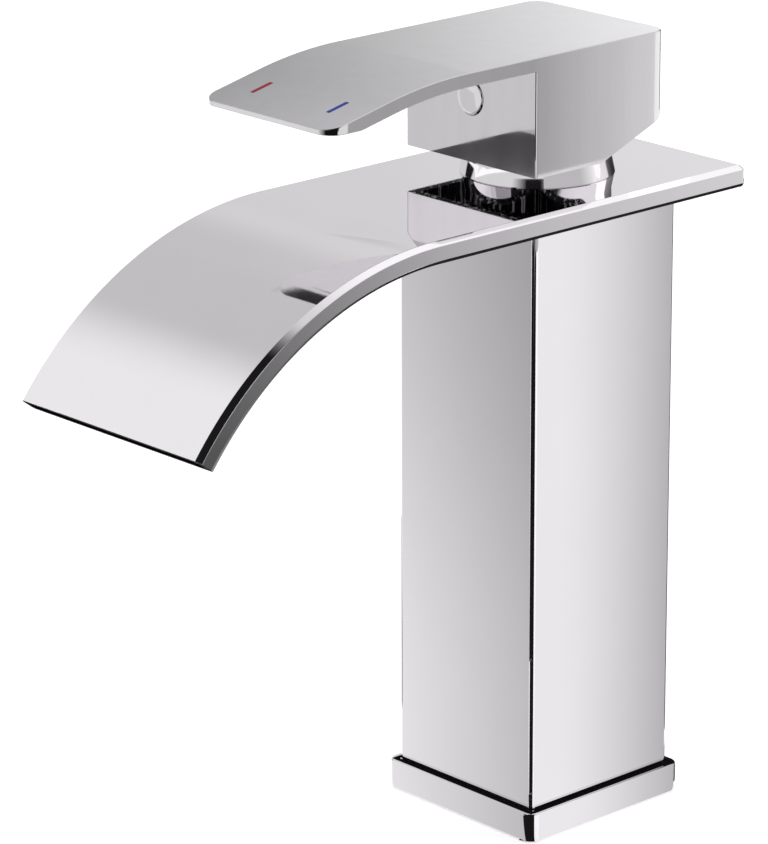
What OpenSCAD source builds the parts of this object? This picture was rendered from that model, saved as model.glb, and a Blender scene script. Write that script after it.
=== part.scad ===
// Single-lever waterfall basin faucet: a square column carries a flat hollow spout that bends
// down to a wide slot. The mixing valve and its ceramic cartridge stand in the column's top.
// Frame: origin on the column's axis at the deck, +Z up, the spout reaches towards -Y.
// Sizes are in millimetres.

/* [Column and base] */
// Height of the column's top edge above the deck
column_h = 152.3; // [145:0.1:220]
// Room between the valve body's shoulder and the column's tube
column_room = 3.4; // [3:0.1:5]
// Wall of the column's tube
column_wall = 2.2; // [1.6:0.1:2.4]
// Radius of the column's upright edges
column_edge_r = 1.2; // [0.4:0.1:1.5]
// Ledge that the base flange shows all round the column
ledge_w = 2.4; // [2:0.1:6]
// Height of the base flange
base_h = 7.5; // [7:0.1:12]
// Radius of the base flange's upright corners
base_corner_r = 3; // [1:0.1:4]
// Bevel of the base flange's top edge
base_bevel = 0.5; // [0.3:0.1:1]
// Floor of the base flange, under the column's insert
base_floor_t = 2.5; // [2:0.1:3]
// Margin of the base flange outside its sealing ring
base_seal_edge = 2.35; // [1.5:0.05:3]
// Width of the sealing ring under the base
base_seal_w = 2.4; // [1.6:0.1:2.6]
// Lip between the sealing ring and the hole for the hoses and the stud
base_seal_lip = 1.25; // [1:0.05:1.5]
// Height of the sealing ring under the base
base_seal_t = 1.2; // [0.8:0.1:1.4]

/* [Spout] */
// Width of the spout's plate
spout_w = 62.8; // [56:0.1:80]
// Thickness of the hollow spout
spout_t = 5.2; // [4.8:0.1:7]
// Thickness of its two sheets
sheet_t = 1.1; // [0.8:0.1:1.3]
// Thickness of its side walls and back wall
spout_wall = 1.5; // [1.2:0.1:2.5]
// Reach of the spout behind the column's axis
spout_back = 38.4; // [34:0.1:60]
// Where the bend starts, in front of the column's axis
spout_flat = 60; // [45:0.5:90]
// Radius of the bend, at the upper face
bend_r = 90; // [60:0.5:140]
// Angle of the bend
bend_angle = 52.8; // [30:0.1:65]
// Width of the bevel along the spout's edges
spout_bevel_w = 1.66; // [0.8:0.02:1.8]
// Drop of the upper bevel
spout_bevel_t = 0.85; // [0.4:0.05:1]

/* [Handle] */
// Room inside the handle's block beside the bonnet
handle_room = 1.9; // [1.6:0.1:5]
// Room inside the handle's block in front of the bonnet
front_room = 1.7; // [1.6:0.1:4]
// Height of the handle's block
handle_h = 28.45; // [26:0.05:40]
// Gap between the block and the spout's plate
handle_gap = 5.7; // [5.4:0.1:9]
// Reach of the block behind the column's axis
block_back = 21.1; // [18.5:0.1:24]
// Slope of the block's underside at the back, which makes room for the lift
block_slope = 21.2; // [18:0.1:28]
// Reach of the lever's tip in front of the column's axis
lever_reach = 84.95; // [80:0.05:120]
// Thickness of the lever
lever_t = 3.3; // [2.6:0.1:4]
// Thickness left at the lever's front edge
tip_t = 1.3; // [0.8:0.1:2]
// Where the lever starts to droop, in front of the column's axis
lever_flat = 43; // [32:0.5:50]
// Radius of the droop, at the upper face
droop_r = 115; // [80:1:120]
// Angle of the droop
droop_angle = 12.2; // [8:0.1:13]
// Radius of the lever's two front corners
tip_corner_r = 4.5; // [1:0.1:12]
// Radius of the block's two back edges
back_edge_r = 4.2; // [0.5:0.1:5]
// Radius of the block's two front edges
front_edge_r = 0.5; // [0.3:0.1:1.5]
// Wall of the block's casting
handle_wall = 2.3; // [1.8:0.1:2.5]
// Length of the hot and cold marks
mark_l = 6.2; // [3:0.1:9]
// Width of the hot and cold marks
mark_w = 1.2; // [0.4:0.1:1.5]
// Distance of each mark from the lever's middle
mark_x = 12.8; // [6:0.1:16]
// Diameter of the plug over the set screw
plug_d = 8.6; // [7:0.1:10]

/* [Cartridge] */
// Angle that the lever lifts from shut to fully open
lift_angle = 25; // [15:1:25]
// Angle that the lever turns from the middle to each side
turn_angle = 45; // [30:1:50]
// Depth of the lever's pivot pin below the spout's upper face
pivot_depth = 7.5; // [7:0.1:8]
// Distance from the pivot pin down to the middle of the stem's ball
foot_drop = 10.5; // [9.5:0.1:11]
// Width of the stem's square
stem_w = 8; // [7:0.1:8]
// Diameter of the stem's ball
ball_d = 5.2; // [4.4:0.1:5.4]
// Diameter of the pivot pin
pin_d = 3; // [2:0.1:3.4]
// Width of the housing's lip over the turret
lip_w = 0.5; // [0.4:0.05:0.8]
// Wall of the cartridge's housing
cartridge_wall = 1.8; // [1.4:0.1:1.9]
// Thickness of the moving disc
moving_t = 3; // [2.6:0.1:4]
// Thickness of the fixed disc
fixed_t = 3.4; // [2.8:0.1:4.5]
// Height of the cartridge's base under the discs
cartridge_base_t = 4.9; // [4.6:0.1:7]

/* [Valve body and pipes] */
// Room for water between the cartridge and the valve chamber's wall
chamber_room = 1.7; // [1.4:0.1:2]
// Wall of the valve body's neck, which passes through the spout
neck_wall = 2; // [1.6:0.1:2.4]
// Width of the valve body's shoulder under the spout
shoulder_w = 1.4; // [1:0.1:2]
// Wall of the bonnet round the neck
bonnet_wall = 2.2; // [1.8:0.1:2.6]
// Taper of the bonnet's radius above the spout's plate
bonnet_taper = 0.7; // [0.2:0.1:0.8]
// Height of the bonnet
bonnet_h = 8.5; // [7.8:0.1:9]
// Outer diameter of the two riser pipes
riser_d = 10; // [9:0.1:10]
// Wall of the riser pipes
riser_wall = 1; // [0.6:0.1:1.4]
// Sideways distance of each water inlet from the column's axis
inlet_x = 8.5; // [8:0.1:9]
// Forward distance of the water inlets from the column's axis
inlet_y = 5; // [4:0.1:6]
// Tapping diameter of the M10 x 1 inlet threads
inlet_d = 9; // [8.4:0.1:9]
// Length of the inlet threads
inlet_l = 12; // [9:0.5:15]
// Diameter of the two tie bolts
tie_d = 4; // [3:0.1:4]

/* [Deck fixing] */
// Thickness of the deck that the faucet is clamped to
deck_t = 30; // [3:1:45]
// Diameter of the fixing stud
stud_d = 8; // [6:0.1:8]
// Backward distance of the stud from the column's axis
stud_y = 11; // [10.5:0.1:12]
// Outer diameter of the horseshoe washers
horseshoe_d = 48; // [44:0.5:54]
// Width of the horseshoes' notch, which lets the hoses through
notch_w = 32; // [28:0.5:33]
// Thickness of the rubber horseshoe
horseshoe_seal_t = 3; // [2:0.1:5]
// Thickness of the steel horseshoe
horseshoe_t = 2.5; // [1.5:0.1:4]
// Width of the fixing nut over its flats
nut_af = 13; // [13:0.5:17]
// Height of the fixing nut
nut_h = 10; // [6:0.5:20]
// Length of stud left under the nut
stud_spare = 11; // [2:1:30]

/* [Hidden] */
$fn = 96;

// Clearances and the overrun of cuts
cut = 1;
fit = 0.05;
glide = 0.08;
slip = 0.15;
loose = 0.3;
// Steps of an arc that is drawn with points
arc_steps = 16;

// Levels of the spout's plate, the pivot pin and the housing's top
plate_z0 = column_h;
plate_z1 = column_h + spout_t;
pivot_z = plate_z1 - pivot_depth;
housing_rise = 2.5;
housing_z1 = plate_z1 + housing_rise;

// Openings that the tilting stem needs: half its room along Y at a height, and the circle round it
function stem_room(h) = h * tan(lift_angle) + stem_w / 2 / cos(lift_angle) + loose;
function stem_circle(z) = norm([stem_w / 2, stem_room(z - pivot_z)]);

// Widths, worked outwards from the stem: turret, housing, chamber, neck, shoulder, column
lip_r = stem_circle(housing_z1);
bore_r = lip_r + lip_w;
turret_r = bore_r - glide;
turret_neck_r = lip_r - glide;
housing_r = bore_r + cartridge_wall;
chamber_r = housing_r + chamber_room;
neck_r = chamber_r + neck_wall;
barrel_r = neck_r + shoulder_w;
column_inner = 2 * (barrel_r + column_room);
column_w = column_inner + 2 * column_wall;
core_w = column_inner - 2 * slip;
base_w = column_w + 2 * ledge_w;
bonnet_r = neck_r + bonnet_wall;
bonnet_top_r = bonnet_r - bonnet_taper;
handle_w = 2 * (bonnet_top_r + handle_room + handle_wall);
block_front = bonnet_top_r + front_room + handle_wall;

// Base flange and the insert that carries the column
insert_plate_t = 3;
insert_block_h = 20.5;
column_z0 = base_floor_t + insert_plate_t;
insert_z1 = column_z0 + insert_block_h;
base_seal_r1 = base_w / 2 - base_seal_edge;
base_seal_r0 = base_seal_r1 - base_seal_w;
base_hole_r = base_seal_r0 - base_seal_lip;

// Spout
sheet_z0 = plate_z0 + sheet_t;
sheet_z1 = plate_z1 - sheet_t;
lower_bevel_share = 0.9;
spout_bevel_z = sheet_t * lower_bevel_share;
bend_z = plate_z1 - bend_r;

// Cartridge levels, counted down from the pivot pin
foot_z = pivot_z - foot_drop;
ball_r = ball_d / 2;
carrier_floor_t = 1;
carrier_flange_t = 1.6;
carrier_z0 = foot_z - ball_r - loose - carrier_floor_t;
boss_rise = 2.8;
turret_z0 = carrier_z0 + carrier_flange_t + slip;
moving_z0 = carrier_z0 - moving_t;
fixed_z0 = moving_z0 - fixed_t;
chamber_z = fixed_z0 - cartridge_base_t;
spigot_t = 1.4;

// Discs, ports, pegs and rings of the cartridge
disc_travel = foot_drop * sin(lift_angle);
disc_y = disc_travel / 2;
disc_r = bore_r - disc_y - loose;
boss_wall = 2;
boss_w = ball_d + 2 * boss_wall;
boss_end_wall = 1.6;
boss_l = ball_d + 2 * boss_end_wall;
port_x = 4.2;
port_y = 2.6;
port_r = 1.7;
outlet_y = 3.6;
outlet_r = 2.4;
mix_w = 10;
mix_y0 = 0.4;
mix_y1 = 7.4;
mix_share = 0.6;
peg_r = 1.2;
peg_h = 2;
peg_x = 8.5;
seal_ring_w = 1.1;
seal_ring_t = 1;

// Cartridge's flange, lip and nut
flange_gap = 0.2;
flange_r = chamber_r - flange_gap;
flange_t = 3;
lip_t = 2.4;
nut_ring_t = 2.8;
neck_z1 = housing_z1 + nut_ring_t + slip;
nut_ring_r = stem_circle(neck_z1);
oring_d = 1.1;
spanner_w = 3;
lug_w = 4;
stop_extra = 13;

// Valve body
core_floor_t = 18.3;
core_h = 20;
valve_z0 = chamber_z - core_floor_t;
socket_depth = 9;
gasket_t = 1;
tie_x = 14.5;
tie_y = 5;
tie_depth = 10;
tie_head_wall = 1.5;
tie_head_d = tie_d + 2 * tie_head_wall;
tie_head_h = 4;
tie_key = 3;
window_w = 16;
riser_step = 1;
riser_z0 = base_floor_t + inlet_l + riser_step;
riser_z1 = valve_z0 + socket_depth;
riser_groove_t = 1.4;
riser_groove_d = 0.8;

// Bonnet
bonnet_z1 = plate_z1 + bonnet_h;
bonnet_cone_h = 3.6;
bonnet_round = 1.66;
bonnet_ball_r = norm([bonnet_top_r, bonnet_z1 - pivot_z]) - bonnet_round;
bonnet_mouth_r = stem_circle(bonnet_z1);
bonnet_seal_w = 1.1;
bonnet_seal_t = 1;

// Handle
handle_z0 = plate_z1 + handle_gap;
handle_z1 = handle_z0 + handle_h;
roof_z = handle_z1 - lever_t;
slope_y = -0.3;
slope_blend_r = 8;
cavity_corner_r = 1.2;
hub_wall = 3.5;
hub_w = stem_w + 2 * hub_wall;
hub_gap = 6;
hub_z0 = bonnet_z1 + hub_gap;
stem_top_gap = 1.35;
stem_z1 = roof_z - stem_top_gap;
stem_hub_drop = 4.5;
stem_neck_d = 3.6;
plug_drop = 9.75;
plug_z = roof_z - plug_drop;
plug_depth = 2.2;
plug_proud = 0.3;
plug_face_share = 5;
plug_face_r = plug_d * plug_face_share;
screw_d = 5;
screw_l = 9;
screw_key = 2.5;
screw_boss_wall = 0.9;
screw_boss_r = plug_d / 2 + screw_boss_wall;
mark_t = 0.4;
mark_tip = 7.4;
droop_y1 = -lever_flat - droop_r * sin(droop_angle);
droop_z1 = handle_z1 - droop_r * (1 - cos(droop_angle));
tip_z1 = droop_z1 - (droop_y1 + lever_reach) * tan(droop_angle);
tip_z0 = tip_z1 - tip_t;
under_r = droop_r - lever_t;
under_y1 = -lever_flat - under_r * sin(droop_angle);
under_z1 = handle_z1 - droop_r + under_r * cos(droop_angle);

// Deck fixing, counted down from the deck
stud_depth = 13;
stud_z1 = column_z0 + stud_depth;
seal_z1 = -deck_t;
washer_z1 = seal_z1 - horseshoe_seal_t;
nut_z1 = washer_z1 - horseshoe_t;
stud_z0 = nut_z1 - nut_h - stud_spare;
notch_y = 1;
notch_r = 5;
arm_y = -12;

// A square with exact round corners, centred
module round_square(w, r) {
    square([w - 2 * r, w], center = true);
    square([w, w - 2 * r], center = true);
    for (sx = [-1, 1], sy = [-1, 1])
        translate([sx * (w / 2 - r), sy * (w / 2 - r)])
            circle(r = r);
}

// A rectangle from y0 to y1 with its own corner radius at each end
module round_plan(w, y0, y1, r0, r1) {
    translate([-w / 2, y0 + r0])
        square([w, y1 - y0 - r0 - r1]);
    translate([-w / 2 + r0, y0])
        square([w - 2 * r0, r0 + r1]);
    translate([-w / 2 + r1, y1 - r0 - r1])
        square([w - 2 * r1, r0 + r1]);
    for (s = [-1, 1]) {
        translate([s * (w / 2 - r0), y0 + r0])
            circle(r = r0);
        translate([s * (w / 2 - r1), y1 - r1])
            circle(r = r1);
    }
}

// A block centred on X and Y, from z0 to z1
module post(w, l, z0, z1) {
    translate([-w / 2, -l / 2, z0])
        cube([w, l, z1 - z0]);
}

// A round bar on the Z axis, from z0 to z1
module bar(r, z0, z1) {
    translate([0, 0, z0])
        cylinder(r = r, h = z1 - z0);
}

// A ring on the Z axis, from z0 to z1
module ring(r0, r1, z0, z1) {
    difference() {
        bar(r1, z0, z1);
        bar(r0, z0 - cut, z1 + cut);
    }
}

// A straight duct from one point to another
module duct(p, q, r) {
    d = q - p;
    l = norm(d);
    translate(p)
        rotate([0, acos(d[2] / l), atan2(d[1], d[0])])
            cylinder(r = r, h = l + cut);
}

// An outline given as [y, z] points, extruded along X and centred
module side_prism(points, w) {
    translate([-w / 2, 0, 0])
        rotate([90, 0, 90])
            linear_extrude(height = w)
                polygon(points);
}

// Rubber ring let into the base flange's underside
module base_seal() {
    color("#202022")
        ring(base_seal_r0, base_seal_r1, 0, base_seal_t);
}

// Square trim flange that hides the column's foot
module base_flange() {
    color("#d4d4d8")
        difference() {
            union() {
                linear_extrude(height = base_h - base_bevel)
                    round_square(base_w, base_corner_r);
                translate([0, 0, base_h - base_bevel])
                    linear_extrude(height = base_bevel / 2)
                        round_square(base_w - base_bevel / 2, base_corner_r);
                translate([0, 0, base_h - base_bevel / 2])
                    linear_extrude(height = base_bevel / 2)
                        round_square(base_w - 3 * base_bevel / 2, base_corner_r);
            }
            translate([0, 0, base_floor_t])
                linear_extrude(height = base_h)
                    round_square(column_w + 2 * fit, column_edge_r);
            bar(base_hole_r, -cut, base_h);
            ring(base_seal_r0 - fit, base_seal_r1 + fit, -cut, base_seal_t + fit);
        }
}

// Brass foot inside the column: the hoses, the stud and the tie bolts meet here
module base_insert() {
    color("#c9a24b")
        difference() {
            union() {
                translate([0, 0, base_floor_t])
                    linear_extrude(height = insert_plate_t)
                        round_square(column_w - 2 * fit, column_edge_r);
                post(core_w, core_w, column_z0, insert_z1);
            }
            for (s = [-1, 1]) {
                translate([s * inlet_x, -inlet_y, 0]) {
                    bar(inlet_d / 2, base_floor_t - cut, riser_z0);
                    bar(riser_d / 2 + fit, riser_z0, insert_z1 + cut);
                }
                translate([s * tie_x, tie_y, 0]) {
                    bar(tie_head_d / 2 + slip, base_floor_t - cut, base_floor_t + tie_head_h);
                    bar(tie_d / 2 + slip, base_floor_t, insert_z1 + cut);
                }
            }
            translate([0, stud_y, 0])
                bar(stud_d / 2 + fit, base_floor_t - cut, stud_z1);
        }
}

// Square chrome tube
module column_shell() {
    color("#d8d8dc")
        translate([0, 0, column_z0])
            linear_extrude(height = plate_z0 - column_z0)
                difference() {
                    round_square(column_w, column_edge_r);
                    square(column_inner, center = true);
                }
}

// Two long bolts that draw the valve body down on the column
module tie_bolts() {
    color("#8f9296")
        for (s = [-1, 1])
            translate([s * tie_x, tie_y, 0])
                difference() {
                    union() {
                        bar(tie_head_d / 2, base_floor_t, base_floor_t + tie_head_h);
                        bar(tie_d / 2, base_floor_t + tie_head_h, valve_z0 + tie_depth);
                    }
                    translate([0, 0, base_floor_t - cut])
                        cylinder(d = tie_key, h = tie_head_h / 2 + cut, $fn = 6);
                }
}

// Copper pipe from the insert up to the valve body
module riser(s) {
    color("#b87345")
        translate([s * inlet_x, -inlet_y, 0])
            difference() {
                bar(riser_d / 2, riser_z0, riser_z1);
                bar(riser_d / 2 - riser_wall, riser_z0 - cut, riser_z1 + cut);
                for (z = [riser_z0, riser_z1 - socket_depth])
                    translate([0, 0, z + socket_depth / 2])
                        ring(riser_d / 2 - riser_groove_d / 2, riser_d, 0, riser_groove_t);
            }
}

module hot_riser() riser(-1);

module cold_riser() riser(1);

// Rubber rings near the ends of both risers
module riser_orings() {
    color("#1c1c1e")
        for (s = [-1, 1], z = [riser_z0, riser_z1 - socket_depth])
            translate([s * inlet_x, -inlet_y, z + socket_depth / 2])
                ring(riser_d / 2 - riser_groove_d / 2 + fit / 2, riser_d / 2 + fit / 2,
                    fit, riser_groove_t - fit);
}

// Brass body with the cartridge's chamber, the water ducts and the neck
module valve_body() {
    color("#c9a24b")
        difference() {
            union() {
                post(core_w, core_w, valve_z0, valve_z0 + core_h);
                bar(barrel_r, valve_z0, plate_z0 - gasket_t);
                bar(neck_r, valve_z0, neck_z1);
            }
            bar(chamber_r, chamber_z, neck_z1 + cut);
            for (s = [-1, 1]) {
                translate([s * inlet_x, -inlet_y, 0])
                    bar(riser_d / 2 + fit, valve_z0 - cut, riser_z1);
                duct([s * inlet_x, -inlet_y, riser_z1 - cut], [s * port_x, -port_y, chamber_z],
                    port_r);
                translate([s * tie_x, tie_y, 0])
                    bar(tie_d / 2 + fit, valve_z0 - cut, valve_z0 + tie_depth + cut);
                translate([s * peg_x, outlet_y, 0])
                    bar(peg_r + slip, chamber_z - peg_h - slip, chamber_z + cut);
            }
            translate([-window_w / 2, -2 * neck_r, sheet_z0 + slip])
                cube([window_w, 2 * neck_r, sheet_z1 - sheet_z0 - 2 * slip]);
        }
}

// Flat rubber ring between the valve body's shoulder and the spout
module body_gasket() {
    color("#1c1c1e")
        ring(neck_r + slip, barrel_r - slip, plate_z0 - gasket_t, plate_z0);
}

// Lower sheet across its width
function lower_outline() = [
    [-spout_w / 2 + spout_bevel_w, plate_z0],
    [spout_w / 2 - spout_bevel_w, plate_z0],
    [spout_w / 2, plate_z0 + spout_bevel_z],
    [spout_w / 2, sheet_z0],
    [-spout_w / 2, sheet_z0],
    [-spout_w / 2, plate_z0 + spout_bevel_z]
];

// Upper sheet and side walls across the width
function upper_outline() = [
    [spout_w / 2, sheet_z0],
    [spout_w / 2, plate_z1 - spout_bevel_t],
    [spout_w / 2 - spout_bevel_w, plate_z1],
    [-spout_w / 2 + spout_bevel_w, plate_z1],
    [-spout_w / 2, plate_z1 - spout_bevel_t],
    [-spout_w / 2, sheet_z0],
    [-spout_w / 2 + spout_wall, sheet_z0],
    [-spout_w / 2 + spout_wall, sheet_z1],
    [spout_w / 2 - spout_wall, sheet_z1],
    [spout_w / 2 - spout_wall, sheet_z0]
];

// Sweeps an outline along the flat and round the bend
module spout_sweep(points) {
    translate([0, spout_back, 0])
        rotate([90, 0, 0])
            linear_extrude(height = spout_back + spout_flat)
                polygon(points);
    translate([0, -spout_flat, bend_z])
        rotate([180, -90, 0])
            rotate_extrude(angle = bend_angle, $fn = 180)
                polygon([for (p = points) [p[1] - bend_z, p[0]]]);
}

// Lower sheet of the hollow spout
module spout_bottom() {
    color("#cfcfd3")
        difference() {
            spout_sweep(lower_outline());
            bar(neck_r + slip, plate_z0 - cut, plate_z1 + cut);
        }
}

// Upper sheet of the hollow spout with its side walls and back wall
module spout_top() {
    color("#dcdce0")
        difference() {
            union() {
                spout_sweep(upper_outline());
                translate([-spout_w / 2 + spout_wall, spout_back - spout_wall, sheet_z0])
                    cube([spout_w - 2 * spout_wall, spout_wall, sheet_z1 - sheet_z0]);
            }
            bar(neck_r + slip, plate_z0 - cut, plate_z1 + cut);
        }
}

// Brass ring that keeps the two sheets apart where the bonnet clamps them
module spacer_ring() {
    color("#c9a24b")
        difference() {
            ring(neck_r + slip, barrel_r, sheet_z0, sheet_z1);
            translate([-window_w / 2, -2 * barrel_r, sheet_z0 - cut])
                cube([window_w, 2 * barrel_r, spout_t + cut]);
        }
}

// Rubber ring in the bonnet's foot
module bonnet_seal() {
    color("#1c1c1e")
        ring(neck_r + slip, neck_r + slip + bonnet_seal_w, plate_z1,
            plate_z1 + bonnet_seal_t);
}

// Chrome bonnet that screws on the neck and clamps the spout
module bonnet() {
    color("#e2e2e6")
        difference() {
            intersection() {
                union() {
                    translate([0, 0, plate_z1])
                        cylinder(r1 = bonnet_r, r2 = bonnet_top_r, h = bonnet_cone_h);
                    bar(bonnet_top_r, plate_z1 + bonnet_cone_h, bonnet_z1);
                }
                translate([0, 0, pivot_z])
                    sphere(r = bonnet_ball_r);
            }
            bar(neck_r + fit, plate_z1 - cut, neck_z1 + slip);
            bar(bonnet_mouth_r, plate_z1, bonnet_z1 + cut);
            bar(neck_r + 2 * slip + bonnet_seal_w, plate_z1 - cut, plate_z1 + bonnet_seal_t);
        }
}

// Threaded ring that holds the cartridge down
module cartridge_nut() {
    color("#c9a24b")
        difference() {
            ring(nut_ring_r, chamber_r - fit, housing_z1, housing_z1 + nut_ring_t);
            for (a = [0, 90])
                rotate([0, 0, a])
                    post(2 * chamber_r, spanner_w, housing_z1 + nut_ring_t / 2, neck_z1 + cut);
        }
}

// Rubber ring in the housing's flange
module housing_oring() {
    color("#1c1c1e")
        translate([0, 0, housing_z1 - flange_t / 2])
            rotate_extrude()
                translate([chamber_r - oring_d / 2 - fit, 0])
                    circle(d = oring_d, $fn = 32);
}

// Plastic housing of the cartridge, with the stops for the turret's lug
module cartridge_housing() {
    color("#e8e6df")
        difference() {
            union() {
                bar(housing_r, fixed_z0 - spigot_t, housing_z1);
                bar(flange_r, housing_z1 - flange_t, housing_z1);
            }
            bar(bore_r, fixed_z0 - spigot_t - cut, housing_z1 - lip_t);
            bar(lip_r, housing_z1 - lip_t - cut, housing_z1 + cut);
            translate([0, 0, housing_z1 - flange_t / 2])
                ring(chamber_r - oring_d - 2 * fit, 2 * chamber_r, -oring_d / 2 - fit,
                    oring_d / 2 + fit);
            translate([0, 0, housing_z1 - lip_t - fit])
                rotate([0, 0, 270 - turn_angle - stop_extra])
                    rotate_extrude(angle = 2 * (turn_angle + stop_extra))
                        square([turret_r + slip, lip_t + cut]);
        }
}

// Plastic base of the cartridge with its ports, its outlet and two locating pegs
module cartridge_base() {
    color("#5b7fa6")
        difference() {
            union() {
                bar(housing_r, chamber_z, fixed_z0 - spigot_t);
                bar(bore_r - fit, chamber_z, fixed_z0);
                for (s = [-1, 1])
                    translate([s * peg_x, outlet_y, 0])
                        bar(peg_r, chamber_z - peg_h, chamber_z + cut);
            }
            for (s = [-1, 1])
                translate([s * port_x, -port_y, 0]) {
                    bar(port_r, chamber_z - cut, fixed_z0 + cut);
                    bar(port_r + seal_ring_w, chamber_z - cut, chamber_z + seal_ring_t);
                    bar(port_r + seal_ring_w, fixed_z0 - seal_ring_t, fixed_z0 + cut);
                }
            translate([0, outlet_y, 0]) {
                bar(outlet_r, chamber_z + cartridge_base_t / 3, fixed_z0 + cut);
                translate([-outlet_r, 0, chamber_z + cartridge_base_t / 3])
                    cube([2 * outlet_r, 2 * housing_r, cartridge_base_t / 3]);
            }
        }
}

// Rubber rings round the two inlet ports, at a given level
module port_rings(z) {
    color("#1c1c1e")
        for (s = [-1, 1])
            translate([s * port_x, -port_y, 0])
                ring(port_r, port_r + seal_ring_w - fit, z, z + seal_ring_t);
}

module inlet_seals() port_rings(chamber_z);

module disc_seals() port_rings(fixed_z0 - seal_ring_t);

// Ceramic disc that stays still, with two inlet ports and the outlet
module fixed_disc() {
    color("#f4f2ea")
        difference() {
            bar(bore_r - fit, fixed_z0, moving_z0);
            for (s = [-1, 1])
                translate([s * port_x, -port_y, 0])
                    bar(port_r, fixed_z0 - cut, moving_z0 + cut);
            translate([0, outlet_y, 0])
                bar(outlet_r, fixed_z0 - cut, moving_z0 + cut);
        }
}

// Ceramic disc that slides and turns over the ports
module moving_disc() {
    color("#f8f7f2")
        difference() {
            translate([0, disc_y, 0])
                bar(disc_r, moving_z0, carrier_z0);
            translate([-mix_w / 2, -mix_y0, moving_z0 - cut])
                cube([mix_w, mix_y0 + mix_y1, moving_t * mix_share + cut]);
        }
}

// Plastic carrier that holds the moving disc and takes the stem's ball
module disc_carrier() {
    color("#d9a441")
        difference() {
            union() {
                translate([0, disc_y, 0])
                    bar(disc_r, carrier_z0, carrier_z0 + carrier_flange_t);
                post(boss_w, boss_l, carrier_z0, foot_z + boss_rise);
            }
            bar(ball_r + loose, carrier_z0 + carrier_floor_t, foot_z + boss_rise + cut);
        }
}

// Turning part of the cartridge: it carries the pivot pin and guides the carrier
module turret() {
    top = housing_z1 + loose;
    under = stem_room(foot_drop / 2) + disc_travel / 2;
    color("#3f4347")
        difference() {
            union() {
                bar(turret_r, turret_z0, housing_z1 - lip_t - slip);
                bar(turret_neck_r, turret_z0, top);
                intersection() {
                    translate([-lug_w / 2, -turret_r, turret_z0])
                        cube([lug_w, turret_r - stem_w / 2, housing_z1 - turret_z0]);
                    bar(turret_r, turret_z0, housing_z1);
                }
            }
            translate([-stem_w / 2 - slip, -stem_w / 2 - loose, pivot_z - stem_hub_drop])
                cube([stem_w + 2 * slip, stem_w / 2 + loose + stem_room(top - pivot_z),
                    top - pivot_z + stem_hub_drop + cut]);
            translate([-stem_w / 2 - slip, -under, turret_z0 - cut])
                cube([stem_w + 2 * slip, under + stem_w / 2 + loose,
                    pivot_z + stem_w * sin(lift_angle) / 2 - turret_z0 + cut]);
            translate([-boss_w / 2 - slip, -turret_r - cut, turret_z0 - cut])
                cube([boss_w + 2 * slip, turret_r + cut + boss_l / 2 + loose,
                    foot_z + boss_rise + loose - turret_z0 + cut]);
            translate([-turret_r, 0, pivot_z])
                rotate([0, 90, 0])
                    cylinder(d = pin_d + fit, h = 2 * turret_r);
        }
}

// Steel pin that the stem tilts on
module pivot_pin() {
    l = 2 * sqrt(turret_r * turret_r - pin_d * pin_d / 4) - 2 * slip;
    color("#a9acb0")
        translate([-l / 2, 0, pivot_z])
            rotate([0, 90, 0])
                cylinder(d = pin_d, h = l);
}

// Brass stem: a ball foot, a neck and a square that the handle sits on
module stem() {
    color("#c2a05a")
        difference() {
            union() {
                post(stem_w, stem_w, pivot_z - stem_hub_drop, stem_z1);
                bar(stem_neck_d / 2, foot_z, pivot_z - stem_hub_drop + cut);
                translate([0, 0, foot_z])
                    sphere(d = ball_d);
            }
            translate([-stem_w, 0, pivot_z])
                rotate([0, 90, 0])
                    cylinder(d = pin_d + 2 * fit, h = 2 * stem_w);
        }
}

// Side outline of the handle's block, as [y, z] points
function block_outline() = [
    [-block_front, handle_z0],
    for (i = [0 : arc_steps])
        let (a = block_slope * i / arc_steps, t = slope_blend_r * tan(block_slope / 2))
            [slope_y - t + slope_blend_r * sin(a), handle_z0 + slope_blend_r * (1 - cos(a))],
    [block_back, handle_z0 + (block_back - slope_y) * tan(block_slope)],
    [block_back, handle_z1],
    [-block_front, handle_z1]
];

// Side outline of the lever, as [y, z] points
function lever_outline() = [
    [0, handle_z1],
    for (i = [0 : arc_steps])
        let (a = droop_angle * i / arc_steps)
            [-lever_flat - droop_r * sin(a), handle_z1 - droop_r * (1 - cos(a))],
    [-lever_reach, tip_z1],
    [-lever_reach, tip_z0],
    [under_y1 - (under_z1 - tip_z0) / tan(droop_angle), tip_z0],
    for (i = [arc_steps : -1 : 0])
        let (a = droop_angle * i / arc_steps)
            [-lever_flat - under_r * sin(a), handle_z1 - droop_r + under_r * cos(a)],
    [0, roof_z]
];

// A mark's bar, let into the lever's upper face near the tip
module mark_bar(s, rise) {
    y = -lever_reach + mark_tip;
    translate([s * mark_x - mark_w / 2, y, tip_z1 + mark_tip * tan(droop_angle)])
        rotate([droop_angle, 0, 0])
            translate([0, 0, -mark_t])
                cube([mark_w, mark_l, mark_t + rise]);
}

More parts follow.
